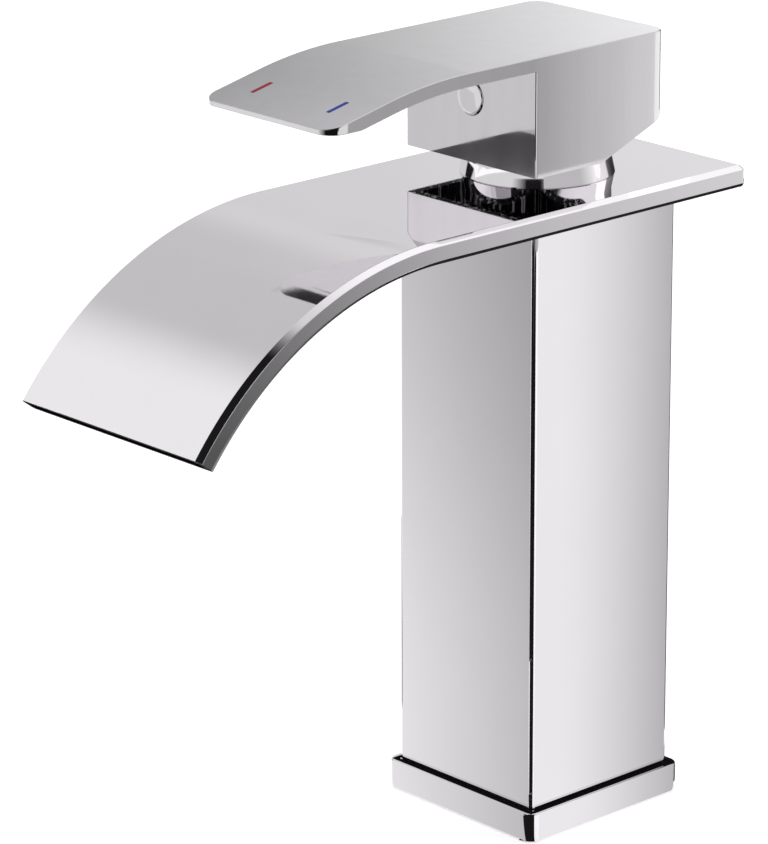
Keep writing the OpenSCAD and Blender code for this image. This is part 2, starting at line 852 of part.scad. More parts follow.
// Hollow casting: the block over the bonnet and the flat lever in one piece
module handle() {
    color("#c6c6ca")
        difference() {
            union() {
                intersection() {
                    side_prism(block_outline(), handle_w);
                    translate([0, 0, handle_z0 - cut])
                        linear_extrude(height = handle_h + 2 * cut)
                            round_plan(handle_w, -block_front, block_back, front_edge_r,
                                back_edge_r);
                }
                intersection() {
                    side_prism(lever_outline(), handle_w);
                    translate([0, 0, handle_z0 - cut])
                        linear_extrude(height = handle_h + 2 * cut)
                            round_plan(handle_w, -lever_reach, stem_w, tip_corner_r,
                                front_edge_r);
                }
            }
            difference() {
                translate([0, 0, handle_z0 - cut])
                    linear_extrude(height = roof_z - handle_z0 + cut)
                        round_plan(handle_w - 2 * handle_wall, -block_front + handle_wall,
                            block_back - handle_wall, cavity_corner_r, cavity_corner_r);
                post(hub_w, hub_w, hub_z0, handle_z1);
                translate([0, 0, plug_z])
                    rotate([90, 0, 0])
                        cylinder(r = screw_boss_r, h = block_front);
            }
            post(stem_w + 2 * fit, stem_w + 2 * fit, handle_z0, stem_z1 + slip);
            translate([0, 0, plug_z])
                rotate([90, 0, 0])
                    cylinder(d = screw_d + 2 * fit, h = block_front + cut);
            translate([0, -block_front + plug_depth, plug_z])
                rotate([90, 0, 0])
                    cylinder(d = plug_d + 2 * fit, h = plug_depth + cut);
            mark_bar(-1, cut);
            mark_bar(1, cut);
        }
}

// Grub screw that locks the handle on the stem
module set_screw() {
    color("#55585c")
        translate([0, -stem_w / 2 - fit, plug_z])
            rotate([90, 0, 0])
                difference() {
                    cylinder(d = screw_d, h = screw_l);
                    translate([0, 0, screw_l - screw_key])
                        cylinder(d = screw_key, h = screw_key + cut, $fn = 6);
                }
}

// Round plug over the set screw's hole
module index_plug() {
    color("#d0d0d4")
        translate([0, -block_front + plug_depth, plug_z])
            rotate([90, 0, 0])
                intersection() {
                    cylinder(d = plug_d, h = plug_depth + plug_proud);
                    translate([0, 0, plug_depth + plug_proud - plug_face_r])
                        sphere(r = plug_face_r);
                }
}

module hot_mark() color("#b3202c") mark_bar(-1, 0);

module cold_mark() color("#24429c") mark_bar(1, 0);

// Threaded rod from the insert down through the deck
module fixing_stud() {
    color("#9b9ea2")
        translate([0, stud_y, 0])
            bar(stud_d / 2, stud_z0, stud_z1 - slip);
}

// Plan of both horseshoes: a disc with a notch for the hoses and a hole for the stud
module horseshoe_plan() {
    difference() {
        circle(d = horseshoe_d);
        translate([-notch_w / 2, -horseshoe_d])
            square([notch_w, horseshoe_d + notch_y - notch_r]);
        translate([-notch_w / 2 + notch_r, -horseshoe_d])
            square([notch_w - 2 * notch_r, horseshoe_d + notch_y]);
        for (s = [-1, 1])
            translate([s * (notch_w / 2 - notch_r), notch_y - notch_r])
                circle(r = notch_r);
        translate([-horseshoe_d, arm_y - horseshoe_d])
            square([2 * horseshoe_d, horseshoe_d]);
        translate([0, stud_y])
            circle(d = stud_d + 2 * slip);
    }
}

// Rubber horseshoe that bears on the deck's underside
module horseshoe_seal() {
    color("#242426")
        translate([0, 0, washer_z1])
            linear_extrude(height = horseshoe_seal_t)
                horseshoe_plan();
}

// Steel horseshoe under the rubber one
module horseshoe_washer() {
    color("#a4a7ab")
        translate([0, 0, nut_z1])
            linear_extrude(height = horseshoe_t)
                horseshoe_plan();
}

// Hexagon nut that clamps the faucet to the deck
module fixing_nut() {
    color("#b9964a")
        translate([0, stud_y, nut_z1 - nut_h])
            difference() {
                cylinder(d = nut_af / cos(30), h = nut_h, $fn = 6);
                bar(stud_d / 2 + fit, -cut, nut_h + cut);
            }
}

base_seal();
base_flange();
base_insert();
column_shell();
tie_bolts();
hot_riser();
cold_riser();
riser_orings();
valve_body();
body_gasket();
spout_bottom();
spout_top();
spacer_ring();
bonnet_seal();
bonnet();
cartridge_nut();
housing_oring();
cartridge_housing();
cartridge_base();
inlet_seals();
disc_seals();
fixed_disc();
moving_disc();
disc_carrier();
turret();
pivot_pin();
stem();
handle();
set_screw();
index_plug();
hot_mark();
cold_mark();
fixing_stud();
horseshoe_seal();
horseshoe_washer();
fixing_nut();
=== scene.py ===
import math

import bmesh
import bpy
from mathutils import Matrix, Vector


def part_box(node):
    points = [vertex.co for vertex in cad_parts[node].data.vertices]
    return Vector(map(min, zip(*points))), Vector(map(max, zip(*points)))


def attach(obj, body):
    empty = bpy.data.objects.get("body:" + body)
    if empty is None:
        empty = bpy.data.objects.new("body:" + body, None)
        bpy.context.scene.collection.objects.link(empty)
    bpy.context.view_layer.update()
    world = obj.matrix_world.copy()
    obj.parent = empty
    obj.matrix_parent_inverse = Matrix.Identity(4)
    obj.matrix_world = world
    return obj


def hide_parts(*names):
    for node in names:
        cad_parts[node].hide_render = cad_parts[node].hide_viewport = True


# Looks of the waterfall basin faucet. The chrome pieces, the stud and the nut are rebuilt with
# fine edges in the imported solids' places. Every other node keeps its solid and gets its material.
# Sizes are in millimetres and become metres when a mesh is made. Angles are in degrees.

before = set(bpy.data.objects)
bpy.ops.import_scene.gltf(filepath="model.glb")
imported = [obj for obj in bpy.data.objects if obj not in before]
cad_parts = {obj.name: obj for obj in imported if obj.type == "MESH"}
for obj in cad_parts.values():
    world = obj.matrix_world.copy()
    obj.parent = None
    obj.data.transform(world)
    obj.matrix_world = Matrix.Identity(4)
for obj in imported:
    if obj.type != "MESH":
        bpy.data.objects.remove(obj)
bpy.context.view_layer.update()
MM = 0.001


def low(node):
    """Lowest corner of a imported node, in millimetres."""
    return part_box(node)[0] / MM


def high(node):
    """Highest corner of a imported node, in millimetres."""
    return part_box(node)[1] / MM


# Camera, as the photograph was taken

PHOTO_LONG_SIDE = 844
FOCAL_PX = 4527.8
SENSOR = 36.0
CAMERA_AT = (739.70, -725.51, 429.63)
CAMERA_YAW = 47.5656
CAMERA_PITCH = 17.9143
CAMERA_ROLL = -0.2185
CAMERA_CLIP = (0.01, 100)

# Sizes repeated from the part's source

SPOUT_BEVEL_W = 1.66
SPOUT_BEVEL_T = 0.85
SPOUT_BEVEL_LOW = 0.99
SPOUT_WALL = 1.5
SHEET_T = 1.1
SPOUT_FLAT = 60.0
BEND_R = 90.0
BEND_ANGLE = 52.8
NECK_HOLE_R = 16.344

COLUMN_EDGE_R = 1.2
COLUMN_WALL = 2.2
BASE_CORNER_R = 3.0
BASE_BEVEL = 0.5
BASE_FLOOR = 2.5
BASE_HOLE_R = 19.594
BASE_SEAL_W = 2.4
FIT = 0.05

BONNET_CONE_H = 3.6
BONNET_ROUND = 1.66
BONNET_TAPER = 0.7
BONNET_MOUTH_R = 12.8
BONNET_LIP = 0.3
BONNET_ROOF_T = 3.05
BONNET_SEAL_REST = 1.1
PIVOT_Z = 150.0

HANDLE_Z0 = 163.2
BLOCK_FRONT = 21.694
BLOCK_SLOPE = 21.2
SLOPE_Y = -0.3
SLOPE_BLEND_R = 8.0
LEVER_T = 3.3
LEVER_FLAT = 43.0
DROOP_R = 115.0
DROOP_ANGLE = 12.2
TIP_T = 1.3
TIP_CORNER_R = 4.5
BACK_EDGE_R = 4.2
FRONT_EDGE_R = 0.5
HANDLE_WALL = 2.3
CAVITY_CORNER_R = 1.2
HUB_W = 15.0
HUB_Z0 = 172.0
STEM_HOLE_W = 8.1
STEM_HOLE_ROOM = 0.15
PLUG_Z = 178.6
PLUG_HOLE_R = 4.35
PLUG_DEPTH = 2.2
PLUG_BOSS_R = 5.2
PLUG_BALL_R = 43.0
PLUG_RIM_R = 0.6
PLUG_STAND = 0.6
SCREW_HOLE_R = 2.55
MARK_L = 6.2
MARK_W = 1.2
MARK_T = 0.4
MARK_X = 12.8
MARK_TIP = 7.4
MARK_ROOM = 0.02
MARK_PROUD = 0.02
MARK_EDGE_W = 0.06
MARK_EDGE_T = 0.04

# Places of the pieces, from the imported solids

PLATE_Z1 = high("spout_top").z
PLATE_Z0 = high("column_shell").z
SEAM_Z = high("spout_bottom").z
SPOUT_HALF = high("spout_top").x
SPOUT_BACK = high("spout_top").y
COLUMN_HALF = high("column_shell").x
BASE_HALF = high("base_flange").x
BASE_TOP = high("base_flange").z
HANDLE_Z1 = high("handle").z
HANDLE_HALF = high("handle").x
LEVER_TIP = low("handle").y
BLOCK_BACK = high("handle").y
ROOF_Z = HANDLE_Z1 - LEVER_T
TIP_CORNER_Y = LEVER_TIP + TIP_CORNER_R
BACK_CORNER_Y = BLOCK_BACK - BACK_EDGE_R

# Sizes of this script's own: fine edges, how far a cutting tool goes past a face, and slack

BEVEL_ROUND = 0.12
END_ROUND = 0.1
BACK_ROUND = 1.0
WALL_BITE = 0.5
BEND_STEPS = 96
TUBE_EDGE_R = 0.2
TUBE_INNER_R = 0.3
LEVER_EDGE_R = 0.2
LEVER_UNDER_R = 0.25
CHAMFER = 0.2
PAST = 1.0
SLACK = 0.05
SHARP_ANGLE = math.radians(32)
SPOUT_SHARP_ANGLE = math.radians(20)
THREAD_SHARP_ANGLE = math.radians(60)
TINY = 0.01

# Outlines


def steps_between(start, end, count):
    """Evenly spaced values from start to end, with both."""
    return [start + (end - start) * i / count for i in range(count + 1)]


def arc(centre, radius, start, end, steps):
    """Points along an arc, with both its ends."""
    turns = [math.radians(turn) for turn in steps_between(start, end, steps)]
    return [(centre[0] + radius * math.cos(a), centre[1] + radius * math.sin(a)) for a in turns]


def rounded(points, radii, steps=4):
    """A closed outline whose corners are rounded, each with its own radius."""
    outline = []
    for i, (point, radius) in enumerate(zip(points, radii)):
        corner = Vector(point)
        if radius == 0:
            outline.append(corner)
            continue
        back = (Vector(points[i - 1]) - corner).normalized()
        ahead = (Vector(points[(i + 1) % len(points)]) - corner).normalized()
        half = back.angle(ahead) / 2
        centre = corner + (back + ahead).normalized() * (radius / math.sin(half))
        start = corner + back * (radius / math.tan(half)) - centre
        end = corner + ahead * (radius / math.tan(half)) - centre
        turn = math.copysign(math.pi - 2 * half, start.x * end.y - start.y * end.x)
        for k in range(steps + 1):
            outline.append(centre + Matrix.Rotation(turn * k / steps, 2) @ start)
    return outline


def rectangle(x0, x1, y0, y1):
    """The four corners of a rectangle."""
    return [(x0, y0), (x1, y0), (x1, y1), (x0, y1)]


def round_rectangle(x0, x1, y0, y1, r0, r1, steps=8):
    """A rectangle with radius r0 at its two low-y corners and r1 at the other two."""
    return rounded(rectangle(x0, x1, y0, y1), [r0, r0, r1, r1], steps)


def round_square(half, radius, steps=8):
    """A square round the origin with four rounded corners."""
    return round_rectangle(-half, half, -half, half, radius, radius, steps)


def inset(outline, distance, stays=None):
    """The outline moved inwards; an edge for which stays(middle) is true doesn't move."""
    size = len(outline)
    area = sum(
        outline[i - 1][0] * outline[i][1] - outline[i][0] * outline[i - 1][1] for i in range(size)
    )
    side = math.copysign(1, area)

    def edge(i):
        a, b = Vector(outline[i]), Vector(outline[(i + 1) % size])
        along = (b - a).normalized()
        gap = 0 if stays and stays((a + b) / 2) else distance
        return Vector((-along.y, along.x)) * side, gap

    moved = []
    for i in range(size):
        n0, d0 = edge(i - 1)
        n1, d1 = edge(i)
        cross = n0.x * n1.y - n0.y * n1.x
        if abs(cross) < 1e-4:
            shift = n1 * d1
        else:
            shift = Vector((d0 * n1.y - d1 * n0.y, d1 * n0.x - d0 * n1.x)) / cross
        moved.append(Vector(outline[i]) + shift)
    return moved


def fillet_steps(radius, steps):
    """(inset, drop) pairs of a quarter-round edge, from the face to the side."""
    turns = [math.pi / 2 * i / steps for i in range(steps + 1)]
    return [(radius * (1 - math.sin(a)), radius * (1 - math.cos(a))) for a in turns]


# Meshes


def mesh_piece(name, points, faces):
    """A mesh object from points in millimetres, with its normals facing out."""
    mesh = bpy.data.meshes.new(name)
    mesh.from_pydata([Vector(p) * MM for p in points], [], faces)
    piece = bpy.data.objects.new(name, mesh)
    bpy.context.scene.collection.objects.link(piece)
    clean(piece)
    return piece


def clean(piece):
    """Joins points that coincide, drops faces without area and turns the normals outwards."""
    shape = bmesh.new()
    shape.from_mesh(piece.data)
    bmesh.ops.remove_doubles(shape, verts=shape.verts, dist=1e-6)
    bmesh.ops.dissolve_degenerate(shape, edges=shape.edges, dist=1e-6)
    bmesh.ops.recalc_face_normals(shape, faces=shape.faces)
    shape.to_mesh(piece.data)
    shape.free()


def skin(size, count, closed=False):
    """Faces that join each of count rings to the next, and the last to the first if closed."""
    faces = []
    for k in range(count if closed else count - 1):
        a, b = k * size, (k + 1) % count * size
        for i in range(size):
            j = (i + 1) % size
            faces.append((a + i, a + j, b + j, b + i))
    return faces


def loft(name, rings, closed=False):
    """Joins rings of equal length into a skin, with capped ends or closed on itself."""
    size = len(rings[0])
    points = [p for ring in rings for p in ring]
    faces = skin(size, len(rings), closed)
    if not closed:
        faces.append(tuple(range(size)))
        faces.append(tuple(range(len(points) - size, len(points))))
    return mesh_piece(name, points, faces)


def at_height(outline, z):
    """A flat outline lifted to a height."""
    return [(p[0], p[1], z) for p in outline]


def prism(name, outline, z0, z1):
    """A straight block over an outline."""
    return loft(name, [at_height(outline, z0), at_height(outline, z1)])


def lathe(name, profile, steps=128, closed=True):
    """Turns a closed (radius, height) profile round the Z axis."""
    rings = []
    for i in range(steps):
        a = 2 * math.pi * i / steps
        rings.append([(p[0] * math.cos(a), p[0] * math.sin(a), p[1]) for p in profile])
    return loft(name, rings, closed=closed)


def rod(name, radius, start, end, steps=96):
    """A round bar along the Z axis."""
    circle = [
        (radius * math.cos(2 * math.pi * i / steps), radius * math.sin(2 * math.pi * i / steps))
        for i in range(steps)
    ]
    return prism(name, circle, start, end)


def place(piece, matrix):
    """Moves a piece's points, so that its object stays at the origin."""
    piece.data.transform(matrix)
    return piece


def towards_front(x, y, z):
    """Turns the Z axis to -Y and moves it to a point in millimetres."""
    return Matrix.Translation(Vector((x, y, z)) * MM) @ Matrix.Rotation(math.pi / 2, 4, "X")


def carve(piece, tool, operation="DIFFERENCE"):
    """Applies a boolean of one piece with another, which is then removed."""
    step = piece.modifiers.new("carve", "BOOLEAN")
    step.operation = operation
    step.solver = "EXACT"
    step.object = tool
    bpy.context.view_layer.objects.active = piece
    with bpy.context.temp_override(object=piece, active_object=piece, selected_objects=[piece]):
        bpy.ops.object.modifier_apply(modifier=step.name)
    bpy.data.objects.remove(tool)
    clean(piece)
    return piece


def smooth(piece, angle=SHARP_ANGLE):
    """Smooth shading that keeps flat faces flat and sharp edges sharp."""
    piece.data.shade_smooth()
    piece.data.set_sharp_from_angle(angle=angle)
    weigh = piece.modifiers.new("flat_faces", "WEIGHTED_NORMAL")
    weigh.mode = "FACE_AREA"
    weigh.weight = 100
    weigh.keep_sharp = True
    return piece


def finish_piece(piece, body, node, material, angle=SHARP_ANGLE):
    """Gives a piece its shading, material and body, and hides the imported node that it stands for.
    """
    smooth(piece, angle)
    piece.data.materials.clear()
    piece.data.materials.append(material)
    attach(piece, body)
    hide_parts(node)
    return piece


# Materials


def link(tree, source, target):
    """Joins two sockets of a node tree."""
    tree.links.new(source, target)


def combine(tree, operation, first, second):
    """A math node on two values, each of them an output or a plain number."""
    node = tree.nodes.new("ShaderNodeMath")
    node.operation = operation
    for socket, value in zip(node.inputs, (first, second)):
        if isinstance(value, float):
            socket.default_value = value
        else:
            link(tree, value, socket)
    return node.outputs["Value"]


def noise(tree, scale, detail, stretch=(1, 1, 1)):
    """Noise over the piece's own place, with a scale per metre along each axis."""
    where = tree.nodes.new("ShaderNodeTexCoord")
    mapping = tree.nodes.new("ShaderNodeMapping")
    mapping.inputs["Scale"].default_value = stretch
    pattern = tree.nodes.new("ShaderNodeTexNoise")
    pattern.inputs["Scale"].default_value = scale
    pattern.inputs["Detail"].default_value = detail
    link(tree, where.outputs["Object"], mapping.inputs["Vector"])
    link(tree, mapping.outputs["Vector"], pattern.inputs["Vector"])
    return pattern.outputs["Fac"]


def ramp(tree, fac, low_value, high_value, start=0.0, end=1.0):
    """Maps a factor to the range between two values or two colours."""
    if isinstance(low_value, (int, float)):
        node = tree.nodes.new("ShaderNodeMapRange")
        node.inputs["From Min"].default_value = start
        node.inputs["From Max"].default_value = end
        node.inputs["To Min"].default_value = low_value
        node.inputs["To Max"].default_value = high_value
        link(tree, fac, node.inputs["Value"])
        return node.outputs["Result"]
    node = tree.nodes.new("ShaderNodeValToRGB")
    node.color_ramp.elements[0].position = start
    node.color_ramp.elements[1].position = end
    node.color_ramp.elements[0].color = (*low_value, 1)
    node.color_ramp.elements[1].color = (*high_value, 1)
    link(tree, fac, node.inputs["Fac"])
    return node.outputs["Color"]


def shade(colour, factor):
    """A colour made darker or lighter."""
    return tuple(min(1.0, c * factor) for c in colour)


WEAR_GRAIN = 0.6
NOISE_SPAN = (0.3, 0.7)
STREAK_SPAN = (0.585, 0.65)
BUMP_HEIGHT = 0.0001


def finish_material(
    name, colour, roughness, metallic=0.0, spread=0.04, rough_spread=0.03, grain=900,
    bump=0.0, bump_grain=2500, stretch=(1, 1, 1), specular=None,
):
    """A principled material with varied colour and roughness and a fine bump."""
    made = bpy.data.materials.new(name)
    made.use_nodes = True
    tree = made.node_tree
    shader = tree.nodes["Principled BSDF"]
    shader.inputs["Metallic"].default_value = metallic
    tone = noise(tree, grain, 4, stretch)
    wear = noise(tree, grain * WEAR_GRAIN, 3, stretch)
    dark, light = shade(colour, 1 - spread), shade(colour, 1 + spread)
    smoother, rougher = roughness - rough_spread, roughness + rough_spread
    link(tree, ramp(tree, tone, dark, light, *NOISE_SPAN), shader.inputs["Base Color"])
    link(tree, ramp(tree, wear, smoother, rougher, *NOISE_SPAN), shader.inputs["Roughness"])
    if bump:
        relief = tree.nodes.new("ShaderNodeBump")
        relief.inputs["Strength"].default_value = bump
        relief.inputs["Distance"].default_value = BUMP_HEIGHT
        link(tree, noise(tree, bump_grain, 3, stretch), relief.inputs["Height"])
        link(tree, relief.outputs["Normal"], shader.inputs["Normal"])
    if specular is not None:
        shader.inputs["Specular IOR Level"].default_value = specular
    return made


def plastic(name, colour, roughness, spread, rough_spread=0.06, bump=0.15):
    """Moulded plastic."""
    return finish_material(
        name, colour, roughness, spread=spread, rough_spread=rough_spread, grain=350,
        bump=bump, bump_grain=2600,
    )


def enamel(name, colour):
    """Baked enamel with a low sheen."""
    return finish_material(
        name, colour, 0.45, spread=0.08, rough_spread=0.06, grain=900, bump=0.08,
        bump_grain=4000, specular=0.15,
    )


def add_painted_highlight_streaks(made, colour, grain, stretch):
    """Lays sparse pale streaks of painted highlight over a material's own colour."""
    tree = made.node_tree
    socket = tree.nodes["Principled BSDF"].inputs["Base Color"]
    below = socket.links[0].from_socket
    mix = tree.nodes.new("ShaderNodeMix")
    mix.data_type = "RGBA"
    streak = noise(tree, grain, 1, stretch)
    link(tree, ramp(tree, streak, 0.0, 1.0, *STREAK_SPAN), mix.inputs["Factor"])
    link(tree, below, mix.inputs["A"])
    mix.inputs["B"].default_value = (*colour, 1)
    link(tree, mix.outputs["Result"], socket)


CHROME = finish_material(
    "polished_chrome", (0.835, 0.812, 0.84), 0.035, metallic=1.0, spread=0.008,
    rough_spread=0.012, grain=60, bump=0.004, bump_grain=700,
)
HANDLE_CHROME = finish_material(
    "handle_chrome", (0.565, 0.552, 0.57), 0.05, metallic=1.0, spread=0.02,
    rough_spread=0.02, grain=240, bump=0.02, bump_grain=1600, stretch=(1, 1, 0.08),
)
# Painted shade: the handle's hollow and underside coloured near black, with pale streaks of painted
# highlight laid over it.
HOLLOW_PAINTED_SHADE = finish_material(
    "hollow_painted_shade", (0.012, 0.011, 0.013), 0.60, spread=0.5, rough_spread=0.10,
    grain=260, bump=0.25, bump_grain=900, stretch=(1, 1, 0.10), specular=0.04,
)
add_painted_highlight_streaks(HOLLOW_PAINTED_SHADE, (0.85, 0.84, 0.86), 900, (1, 1, 0.03))
BRASS = finish_material(
    "machined_brass", (0.73, 0.56, 0.27), 0.24, metallic=1.0, spread=0.06,
    rough_spread=0.07, grain=300, bump=0.12, bump_grain=2400, stretch=(1, 1, 6),
)
COPPER = finish_material(
    "drawn_copper", (0.72, 0.42, 0.29), 0.28, metallic=1.0, spread=0.10,
    rough_spread=0.08, grain=180, bump=0.10, bump_grain=1800, stretch=(1, 1, 0.1),
)
STEEL = finish_material(
    "zinc_plated_steel", (0.60, 0.61, 0.62), 0.30, metallic=1.0, spread=0.08,
    rough_spread=0.08, grain=260, bump=0.12, bump_grain=1500,
)
RUBBER = finish_material(
    "black_rubber", (0.022, 0.022, 0.024), 0.62, spread=0.25, rough_spread=0.10,
    grain=500, bump=0.25, bump_grain=3200,
)
HOUSING_PLASTIC = plastic("housing_plastic", (0.78, 0.76, 0.70), 0.42, 0.03)
BASE_PLASTIC = plastic("base_plastic", (0.11, 0.21, 0.38), 0.40, 0.06)
CARRIER_PLASTIC = plastic("carrier_plastic", (0.68, 0.37, 0.06), 0.42, 0.06)
TURRET_PLASTIC = plastic(
    "turret_plastic", (0.052, 0.058, 0.064), 0.40, 0.10, rough_spread=0.07, bump=0.18,
)
CERAMIC = finish_material(
    "lapped_ceramic", (0.90, 0.88, 0.82), 0.22, spread=0.02, rough_spread=0.05,
    grain=700, bump=0.06, bump_grain=3500,
)
RED_ENAMEL = enamel("red_enamel", (0.40, 0.008, 0.018))
BLUE_ENAMEL = enamel("blue_enamel", (0.02, 0.045, 0.42))

NODE_MATERIALS = {
    "base_seal": RUBBER, "riser_orings": RUBBER, "body_gasket": RUBBER,
    "bonnet_seal": RUBBER, "housing_oring": RUBBER, "inlet_seals": RUBBER,
    "disc_seals": RUBBER, "horseshoe_seal": RUBBER,
    "base_insert": BRASS, "valve_body": BRASS, "spacer_ring": BRASS,
    "cartridge_nut": BRASS, "stem": BRASS,
    "hot_riser": COPPER, "cold_riser": COPPER,
    "tie_bolts": STEEL, "pivot_pin": STEEL, "set_screw": STEEL, "horseshoe_washer": STEEL,
    "cartridge_housing": HOUSING_PLASTIC, "cartridge_base": BASE_PLASTIC,
    "disc_carrier": CARRIER_PLASTIC, "turret": TURRET_PLASTIC,
    "fixed_disc": CERAMIC, "moving_disc": CERAMIC,
}


def dress_nodes():
    """Gives each node that keeps its solid its material."""
    for node, material in NODE_MATERIALS.items():
        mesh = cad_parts[node].data
        mesh.materials.clear()
        mesh.materials.append(material)


# Spout


def round_bend(x, depth, turn):
    """The point that lies depth under the plate's face, turned round the bend."""
    a = math.radians(turn)
    reach = BEND_R - depth
    return (x, -SPOUT_FLAT - reach * math.sin(a), PLATE_Z1 - BEND_R + reach * math.cos(a))


def spout_station(outline, y, turn=0):
    """An outline across the spout at y on the flat, or turned round the bend."""
    if turn:
        return [round_bend(x, PLATE_Z1 - z, turn) for x, z in outline]
    return [(x, y, z) for x, z in outline]


def stays_put(middle):
    """Whether an edge of the spout's outline isn't part of its outer skin."""
    on_seam = abs(middle[1] - SEAM_Z) < TINY / 10
    between_walls = abs(middle[0]) <= SPOUT_HALF - SPOUT_WALL + TINY
    under_roof = SEAM_Z < middle[1] <= PLATE_Z1 - SHEET_T + TINY
    return on_seam or (between_walls and under_roof)


def spout_sweep(name, outline):
    """Sweeps an outline along the flat and round the bend, with rounded ends."""
    rings = []
    for gap, drop in fillet_steps(BACK_ROUND, 6):
        rings.append(spout_station(inset(outline, gap, stays_put), SPOUT_BACK - drop))
    rings.append(spout_station(outline, -SPOUT_FLAT))
    end_turn = math.degrees(END_ROUND / BEND_R)
    for i in range(1, BEND_STEPS + 1):
        rings.append(spout_station(outline, 0, (BEND_ANGLE - end_turn) * i / BEND_STEPS))
    for gap, drop in reversed(fillet_steps(END_ROUND, 4)[:-1]):
        turn = BEND_ANGLE - math.degrees(drop / BEND_R)
        rings.append(spout_station(inset(outline, gap, stays_put), 0, turn))
    return loft(name, rings)


def open_neck(piece):
    """Cuts the valve's neck hole through a sheet of the spout."""
    return carve(piece, rod("neck_hole", NECK_HOLE_R, PLATE_Z0 - PAST, PLATE_Z1 + PAST))


def build_spout_bottom():
    """Lower sheet: bevelled below, flat at the seam."""
    outline = round_rectangle(-SPOUT_HALF, SPOUT_HALF, PLATE_Z0, SEAM_Z, SPOUT_BEVEL_LOW, 0)
    piece = open_neck(spout_sweep("spout_lower_sheet", outline))
    return finish_piece(piece, "faucet", "spout_bottom", CHROME, SPOUT_SHARP_ANGLE)


def build_spout_top():
    """Upper sheet with its side walls and back wall in one piece."""
    half = SPOUT_HALF
    inner = half - SPOUT_WALL
    roof = PLATE_Z1 - SHEET_T
    corners = [
        (half, SEAM_Z, 0),
        (half, PLATE_Z1 - SPOUT_BEVEL_T, BEVEL_ROUND),
        (half - SPOUT_BEVEL_W, PLATE_Z1, BEVEL_ROUND * 2),
        (-half + SPOUT_BEVEL_W, PLATE_Z1, BEVEL_ROUND * 2),
        (-half, PLATE_Z1 - SPOUT_BEVEL_T, BEVEL_ROUND),
        (-half, SEAM_Z, 0),
        (-inner, SEAM_Z, 0),
        (-inner, roof, BEVEL_ROUND),
        (inner, roof, BEVEL_ROUND),
        (inner, SEAM_Z, 0),
    ]
    outline = rounded([(x, z) for x, z, radius in corners], [radius for x, z, radius in corners])
    piece = spout_sweep("spout_upper_sheet", outline)
    reach = inner + WALL_BITE
    wall = prism(
        "back_wall", rectangle(-reach, reach, SPOUT_BACK - SPOUT_WALL, SPOUT_BACK - END_ROUND),
        SEAM_Z, roof + WALL_BITE,
    )
    open_neck(carve(piece, wall, "UNION"))
    return finish_piece(piece, "faucet", "spout_top", CHROME, SPOUT_SHARP_ANGLE)


# Column and base


def build_column():
    """Square tube with finely rounded upright edges."""
    z0, z1 = low("column_shell").z, high("column_shell").z
    outer = round_square(COLUMN_HALF, COLUMN_EDGE_R)
    inner = round_square(COLUMN_HALF - COLUMN_WALL, TUBE_INNER_R)
    edge = fillet_steps(TUBE_EDGE_R, 3)
    rings = [at_height(inset(outer, gap), z0 + drop) for gap, drop in edge]
    rings += [at_height(inset(outer, gap), z1 - drop) for gap, drop in reversed(edge)]
    rings += [at_height(inner, z1), at_height(inner, z0)]
    piece = loft("column_tube", rings, closed=True)
    return finish_piece(piece, "faucet", "column_shell", CHROME)


def build_base():
    """Square trim flange: rounded top edge, recess for the column and hole for the hoses."""
    outer = round_square(BASE_HALF, BASE_CORNER_R, 12)
    rings = [at_height(outer, 0)]
    rings += [at_height(inset(outer, gap), BASE_TOP - drop)
              for gap, drop in reversed(fillet_steps(BASE_BEVEL, 5))]
    piece = loft("base_trim", rings)
    recess = round_square(COLUMN_HALF + FIT, COLUMN_EDGE_R)
    carve(piece, prism("recess", recess, BASE_FLOOR, BASE_TOP + PAST))
    carve(piece, rod("hose_hole", BASE_HOLE_R, -PAST, BASE_TOP + PAST))
    seal_r, groove_top = high("base_seal").x, high("base_seal").z + FIT
    outside, inside = seal_r + FIT, seal_r - BASE_SEAL_W - FIT
    groove = [(outside, -PAST), (outside, groove_top), (inside, groove_top), (inside, -PAST)]
    carve(piece, lathe("seal_groove", groove))
    return finish_piece(piece, "faucet", "base_flange", CHROME)


# Bonnet


def build_bonnet():
    """Chrome cap: a low cone, a short wall and a domed shoulder round the mouth."""
    z0, z1 = low("bonnet").z, high("bonnet").z
    foot_r = high("bonnet").x
    top_r = foot_r - BONNET_TAPER
    ball_r = math.hypot(top_r, z1 - PIVOT_Z) - BONNET_ROUND
    neck_r = high("bonnet_seal").x - BONNET_SEAL_REST
    neck_top = z1 - BONNET_ROOF_T
    wall_top = PIVOT_Z + math.sqrt(ball_r ** 2 - top_r ** 2)
    start = math.degrees(math.atan2(wall_top - PIVOT_Z, top_r))
    end = math.degrees(math.asin((z1 - PIVOT_Z) / ball_r))
    dome = arc((0, PIVOT_Z), ball_r, start, end, 16)
    profile = [(neck_r, z0), (foot_r - CHAMFER, z0), (foot_r, z0 + CHAMFER)]
    profile += [(top_r, z0 + BONNET_CONE_H)] + dome
    profile += [(BONNET_MOUTH_R + BONNET_LIP, z1), (BONNET_MOUTH_R, z1 - BONNET_LIP)]
    profile += [(BONNET_MOUTH_R, neck_top), (neck_r, neck_top)]
    piece = lathe("bonnet_cap", profile, 160)
    return finish_piece(piece, "faucet", "bonnet", CHROME)


# Handle


def droop(depth, y):
    """Height of a surface that lies depth below the lever's upper face, at y."""
    ahead = -LEVER_FLAT - y
    if ahead <= 0:
        return HANDLE_Z1 - depth
    radius = DROOP_R - depth
    end = radius * math.sin(math.radians(DROOP_ANGLE))
    if ahead <= end:
        return HANDLE_Z1 - DROOP_R + math.sqrt(radius ** 2 - ahead ** 2)
    level = HANDLE_Z1 - DROOP_R + radius * math.cos(math.radians(DROOP_ANGLE))
    return level - (ahead - end) * math.tan(math.radians(DROOP_ANGLE))


TIP_Z0 = droop(0, LEVER_TIP) - TIP_T
STRAIGHT_FROM = 2 - LEVER_FLAT


